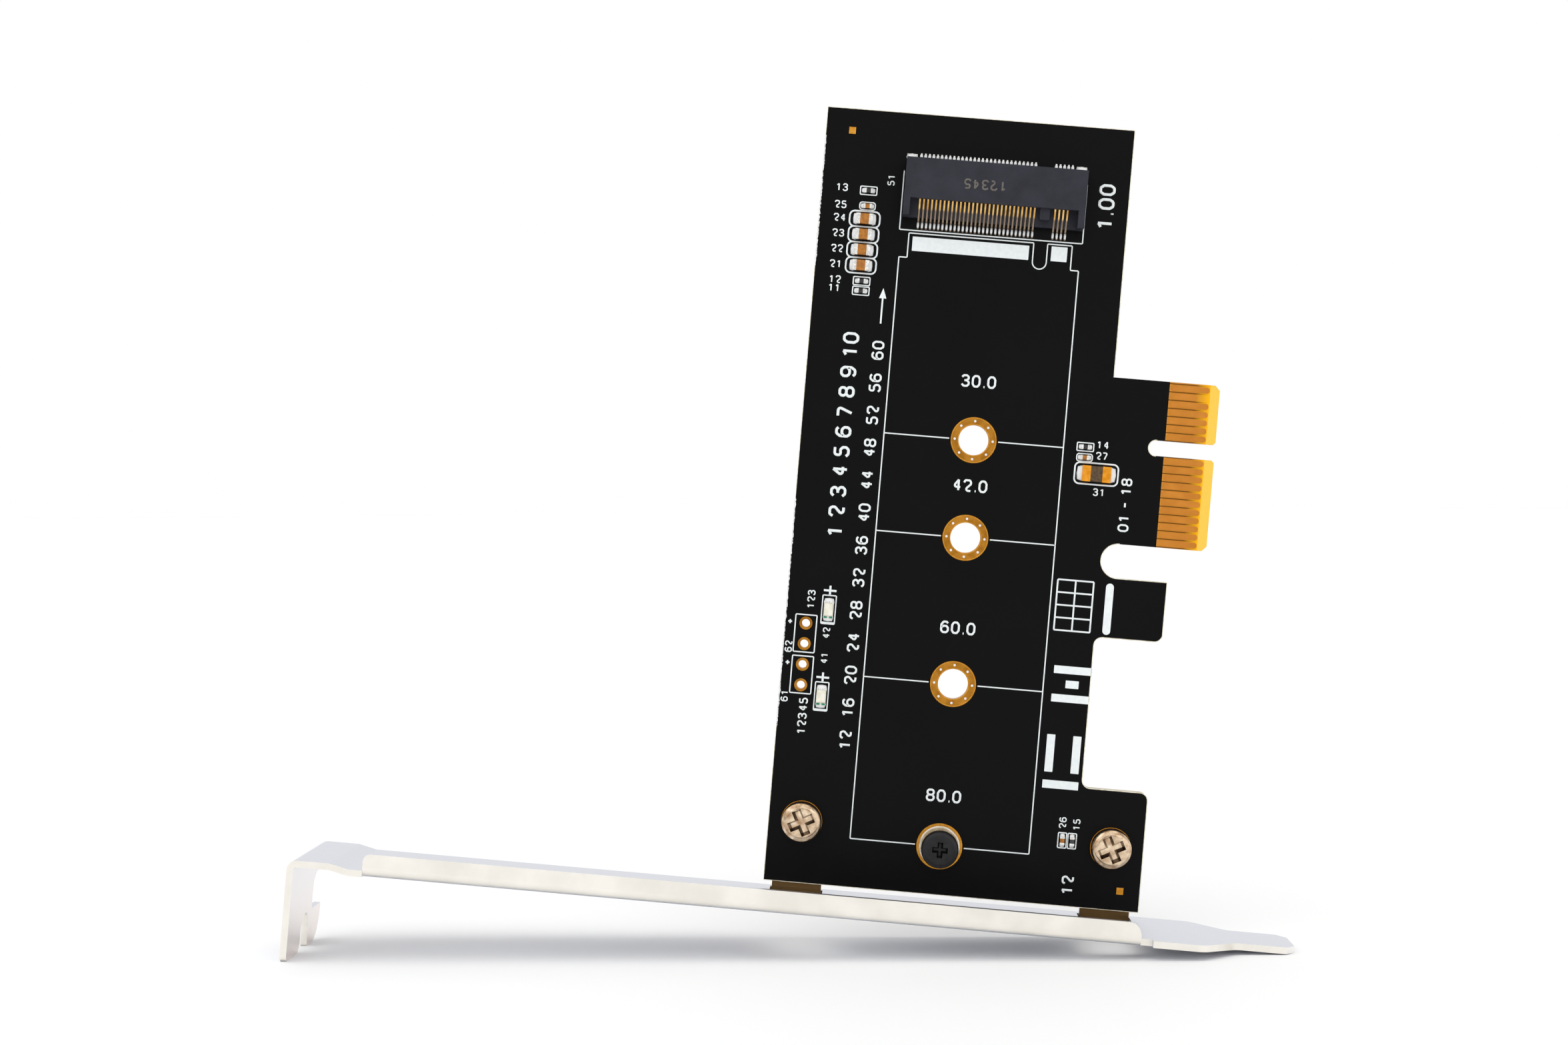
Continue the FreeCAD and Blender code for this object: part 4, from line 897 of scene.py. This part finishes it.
# %% Node tree for the rings of vias
def via_tree():
    tree, given = group_tree("ring_of_vias", ("Ring Radius", "Via Radius", "Depth"))
    circle = add(tree, "GeometryNodeMeshCircle", {"Vertices": 8, "Radius": given["Ring Radius"]})
    dot = add(tree, "GeometryNodeMeshCylinder", {
        "Vertices": 10, "Radius": given["Via Radius"], "Depth": given["Depth"]})
    rings = add(tree, "GeometryNodeInstanceOnPoints", {
        "Points": given["Geometry"], "Instance": circle.outputs["Mesh"]})
    real = add(tree, "GeometryNodeRealizeInstances", {"Geometry": rings.outputs["Instances"]})
    dots = add(tree, "GeometryNodeInstanceOnPoints", {
        "Points": real.outputs["Geometry"], "Instance": dot.outputs["Mesh"]})
    close_tree(tree, dots.outputs["Instances"], "marking_ink")
    return tree


RING_HEIGHT = card_height("module_hole_plating_60")
ring_spots = [(0, level) for level in HOLE_LEVELS]
via_mesh = grow(spots_object(ring_spots), via_tree(), ring_radius=2.33, via_radius=0.15, depth=INK)
piece("ring_vias", [via_mesh], level=RING_HEIGHT + INK_LEVEL)

# Painted highlight: a narrow line of the brighter gold along each edge of a ring.
RING_EDGES = (2.73, 1.93)
rim_rings = [ring_path(0, level, radius) for level in HOLE_LEVELS for radius in RING_EDGES]
ring_mesh = grow(paths_object(rim_rings), line_tree("worn_rims", "target_gold"), width=RIM_WIDE,
                 thickness=INK, corner_radius=0.0)
piece("ring_rims", [ring_mesh], level=RING_HEIGHT + INK_LEVEL)

# %% [markdown]
# ## Foot of the standoff
#
# The standoff is pressed into the last hole and soldered, so a low bright collar shows round its foot.

# %% Collar round the standoff
COLLAR_OUTER, COLLAR_HIGH, COLLAR_OVERLAP = 2.52, 0.30, 0.02
standoff_radius = card_place("standoff")[2] / 2
collar_wide = COLLAR_OUTER - standoff_radius + COLLAR_OVERLAP
collar = grow(paths_object([ring_path(0, 0, COLLAR_OUTER - collar_wide / 2)]),
              line_tree("collar_lines", "standoff_nickel"),
              width=collar_wide, thickness=COLLAR_HIGH, corner_radius=0.0)
piece("standoff_collar", [collar],
      level=card_height("module_hole_plating_80") + COLLAR_HIGH / 2)

# %% [markdown]
# ## Solder
#
# Solder wets each metal end and runs down to the pad in a bright slope. The tree pinches the top of a
# cube, rounds it once while its foot keeps its outline, and stands one at each joint. Each joint brings
# its own width, length and height.

# %% Node tree for solder joints
def solder_tree():
    tree, given = group_tree("solder_joints", ())
    cube = add(tree, "GeometryNodeMeshCube", {"Size": (1, 1, 1)}).outputs["Mesh"]
    place = add(tree, "GeometryNodeInputPosition").outputs["Position"]
    height = add(tree, "ShaderNodeSeparateXYZ", {"Vector": place}).outputs["Z"]
    upper = add(tree, "FunctionNodeCompare", {0: height, 1: 0.0}, operation="GREATER_THAN").outputs[0]
    lower = add(tree, "FunctionNodeCompare", {0: height, 1: -0.4}, operation="LESS_THAN").outputs[0]
    pinched = add(tree, "ShaderNodeVectorMath", {0: place, 1: (0.78, 0.78, 1)},
                  operation="MULTIPLY").outputs["Vector"]
    frustum = add(tree, "GeometryNodeSetPosition", {
        "Geometry": cube, "Selection": upper, "Position": pinched}).outputs["Geometry"]
    crease = add(tree, "ShaderNodeMath", {0: lower, 1: 0.4}, operation="MAXIMUM").outputs["Value"]
    rounded = add(tree, "GeometryNodeSubdivisionSurface", {
        "Mesh": frustum, "Level": 1, "Edge Crease": crease}).outputs["Mesh"]
    smooth = add(tree, "GeometryNodeSetShadeSmooth", {"Geometry": rounded, "Shade Smooth": True})
    mound = add(tree, "GeometryNodeTransform", {
        "Geometry": smooth.outputs["Geometry"], "Translation": (0, 0, 0.5)})
    size = add(tree, "GeometryNodeInputNamedAttribute", {"Name": "size"}, data_type="FLOAT_VECTOR")
    placed = add(tree, "GeometryNodeInstanceOnPoints", {
        "Points": given["Geometry"], "Instance": mound.outputs["Geometry"],
        "Scale": size.outputs["Attribute"]})
    close_tree(tree, placed.outputs["Instances"], "solder_tin")
    return tree


# %% Joints of the chips and the socket
def chip_joints(node, reach, wide, high, along):
    """Two joints at the ends of a chip: how far each reaches, how wide and how high it is."""
    u, w, across, up = card_place(node)
    step = (across if along == "u" else up) / 2
    if along == "u":
        return [(u + side * step, w, reach, wide, high) for side in (-1, 1)]
    return [(u, w + side * step, wide, reach, high) for side in (-1, 1)]


CONTACT_WIDE, CONTACT_PITCH = 0.20, 0.50


def contact_joints(node, rows, w, wide, reach, high):
    """A joint under every contact, counted in from both ends of the row."""
    u, _, across, _ = card_place(node)
    first, last = u - (across - CONTACT_WIDE) / 2, u + (across - CONTACT_WIDE) / 2
    places = [first + i * CONTACT_PITCH for i in range(rows[0])]
    places += [last - i * CONTACT_PITCH for i in range(rows[1])]
    return [(u, w, wide, reach, high) for u in places]


# Chips, their joints' reach, width and height, and the way the chips lie.
CHIP_JOINTS = (
    ([f"capacitor_bulk_{number}" for number in (1, 2, 3, 4)], 0.86, 1.45, 0.5, "u"),
    (("resistor_socket", "capacitor_socket", "resistor_led_1", "resistor_led_2", "resistor_edge",
      "capacitor_edge"), 0.68, 0.62, 0.28, "u"),
    (("capacitor_lower", "resistor_lower"), 0.68, 0.62, 0.28, "w"),
    (("supply_fuse",), 1.34, 1.94, 0.42, "u"),
    (("led_upper", "led_lower"), 0.9, 1.3, 0.36, "w"),
)
HOLD_DOWN_JOINT = (1.45, 0.95, 0.24)
joints = []
for chips, reach, wide, high, along in CHIP_JOINTS:
    for chip in chips:
        joints += chip_joints(f"{chip}_ends", reach, wide, high, along)
joints += contact_joints("socket_contacts_lower", (29, 4), 75.68, 0.30, 0.78, 0.30)
joints += contact_joints("socket_contacts_upper", (29, 5), 83.92, 0.40, 0.86, 0.36)
for side in ("left", "right"):
    joints.append(card_place(f"socket_hold_down_{side}")[:2] + HOLD_DOWN_JOINT)
solder_mesh = grow(spots_object(joints), solder_tree())
piece("solder_joints", [solder_mesh], level=-0.01)

# %% [markdown]
# ## Polarity marks
#
# A light works only one way round, so its maker paints two small green corners at one end.

# %% Green corners of the lights
MARK_APART, MARK_GAP, MARK_WIDE, MARK_HIGH = 0.34, 0.12, 0.42, 0.22
led_marks = []
for led in ("led_upper_lens", "led_lower_lens"):
    u, w, _, up = card_place(led)
    led_marks += [bar_points(u + side * MARK_APART, w - up / 2 - MARK_GAP, MARK_WIDE, MARK_HIGH)
                  for side in (-1, 1)]
green = slab_mesh(led_marks, INK, "led_green")
piece("led_polarity_marks", [green], level=card_height("led_upper_ends") + INK_LEVEL)

# %% [markdown]
# ## Floor
#
# The card stands on a white table: the end of the bracket's tab touches at one side and the bent
# tongue at the other. The floor is a plane through those two places, so it slopes a little in this
# frame, about as much as the camera rolls.

# %% Make the floor
TONGUE_UNDERSIDE, FLOOR_HALF = 10.93 * MM, 8.0
SPAN = cad_box[1].x - cad_box[0].x
FLOOR_SLOPE = math.atan2(TONGUE_UNDERSIDE, SPAN)

floor_work = bmesh.new()
bmesh.ops.create_grid(floor_work, x_segments=1, y_segments=1, size=FLOOR_HALF)
floor_mesh = bpy.data.meshes.new("table")
floor_work.to_mesh(floor_mesh)
floor_work.free()
floor_mesh.transform(
    Matrix.Translation((cad_box[0].x, 0, cad_box[0].z)) @ Matrix.Rotation(-FLOOR_SLOPE, 4, "Y"))
floor = new_object("table", floor_mesh)
table_paint = new_material("white_table", Base_Color="#FAFAFA", Roughness=0.7, Specular_IOR_Level=0.1)
floor_mesh.materials.append(table_paint[0])
print("floor slope, degrees:", round(math.degrees(FLOOR_SLOPE), 2))

# %% [markdown]
# ## Studio
#
# Black things are lit from the sides. A black mask shows whatever stands in front of it, so the
# room in front stays dim, and the light comes from behind and both sides. The ceiling is a little
# darker than the walls, or the bright plate would burn out when it is seen from above. The camera,
# anything clear and every level reflection that looks behind the object see the same plain white.

# %% World and lamps
DIM, BRIGHT, CEILING = 0.22, 0.95, 0.65

world = bpy.data.worlds.new("studio")
bpy.context.scene.world = world
world.use_nodes = True
tree = world.node_tree
tree.nodes.clear()
toward = add(tree, "ShaderNodeSeparateXYZ", {
    "Vector": add(tree, "ShaderNodeTexCoord").outputs["Generated"]})
room = add(tree, "ShaderNodeMapRange", {
    "Value": toward.outputs["Y"], "From Min": -0.75, "From Max": 0.1, "To Min": DIM, "To Max": BRIGHT},
    interpolation_type="SMOOTHSTEP").outputs["Result"]
low = add(tree, "ShaderNodeMapRange", {
    "Value": toward.outputs["Z"], "From Min": 0.95, "From Max": 0.6},
    interpolation_type="SMOOTHSTEP").outputs["Result"]
overhead = add(tree, "ShaderNodeMix", {0: low, 2: CEILING, 3: 1.0}, data_type="FLOAT").outputs[0]
room = add(tree, "ShaderNodeMath", {0: room, 1: overhead}, operation="MULTIPLY").outputs["Value"]
path = add(tree, "ShaderNodeLightPath")
behind = add(tree, "ShaderNodeMapRange", {
    "Value": toward.outputs["Y"], "From Min": -0.1, "From Max": 0.1}).outputs["Result"]
reflected = path.outputs["Is Glossy Ray"]
for mask in (behind, low):
    reflected = add(tree, "ShaderNodeMath", {
        0: reflected, 1: mask}, operation="MULTIPLY").outputs["Value"]
direct = add(tree, "ShaderNodeMath", {
    0: path.outputs["Is Camera Ray"], 1: path.outputs["Is Transmission Ray"]},
    operation="MAXIMUM").outputs["Value"]
seen = add(tree, "ShaderNodeMath", {0: direct, 1: reflected}, operation="MAXIMUM").outputs["Value"]
level = add(tree, "ShaderNodeMix", {0: seen, 2: room, 3: 1.0}, data_type="FLOAT").outputs[0]
background = add(tree, "ShaderNodeBackground", {"Color": "#FFFFFF", "Strength": level})
add(tree, "ShaderNodeOutputWorld", {"Surface": background.outputs["Background"]})

LAMPS = {
    "key": ((-0.35, -0.60, 0.85), 1.8, 100),
    "fill": ((0.70, -0.75, 0.05), 1.0, 70),
}
for name, (source, strength, spread) in LAMPS.items():
    lamp = bpy.data.lights.new(name, "SUN")
    lamp.energy, lamp.angle = strength, math.radians(spread)
    holder = new_object(name, lamp)
    holder.rotation_euler = (-Vector(source)).to_track_quat("-Z", "Y").to_euler()
print("lamps:", len(LAMPS))

# %% Finish
bpy.context.scene.view_settings.view_transform = "Standard"
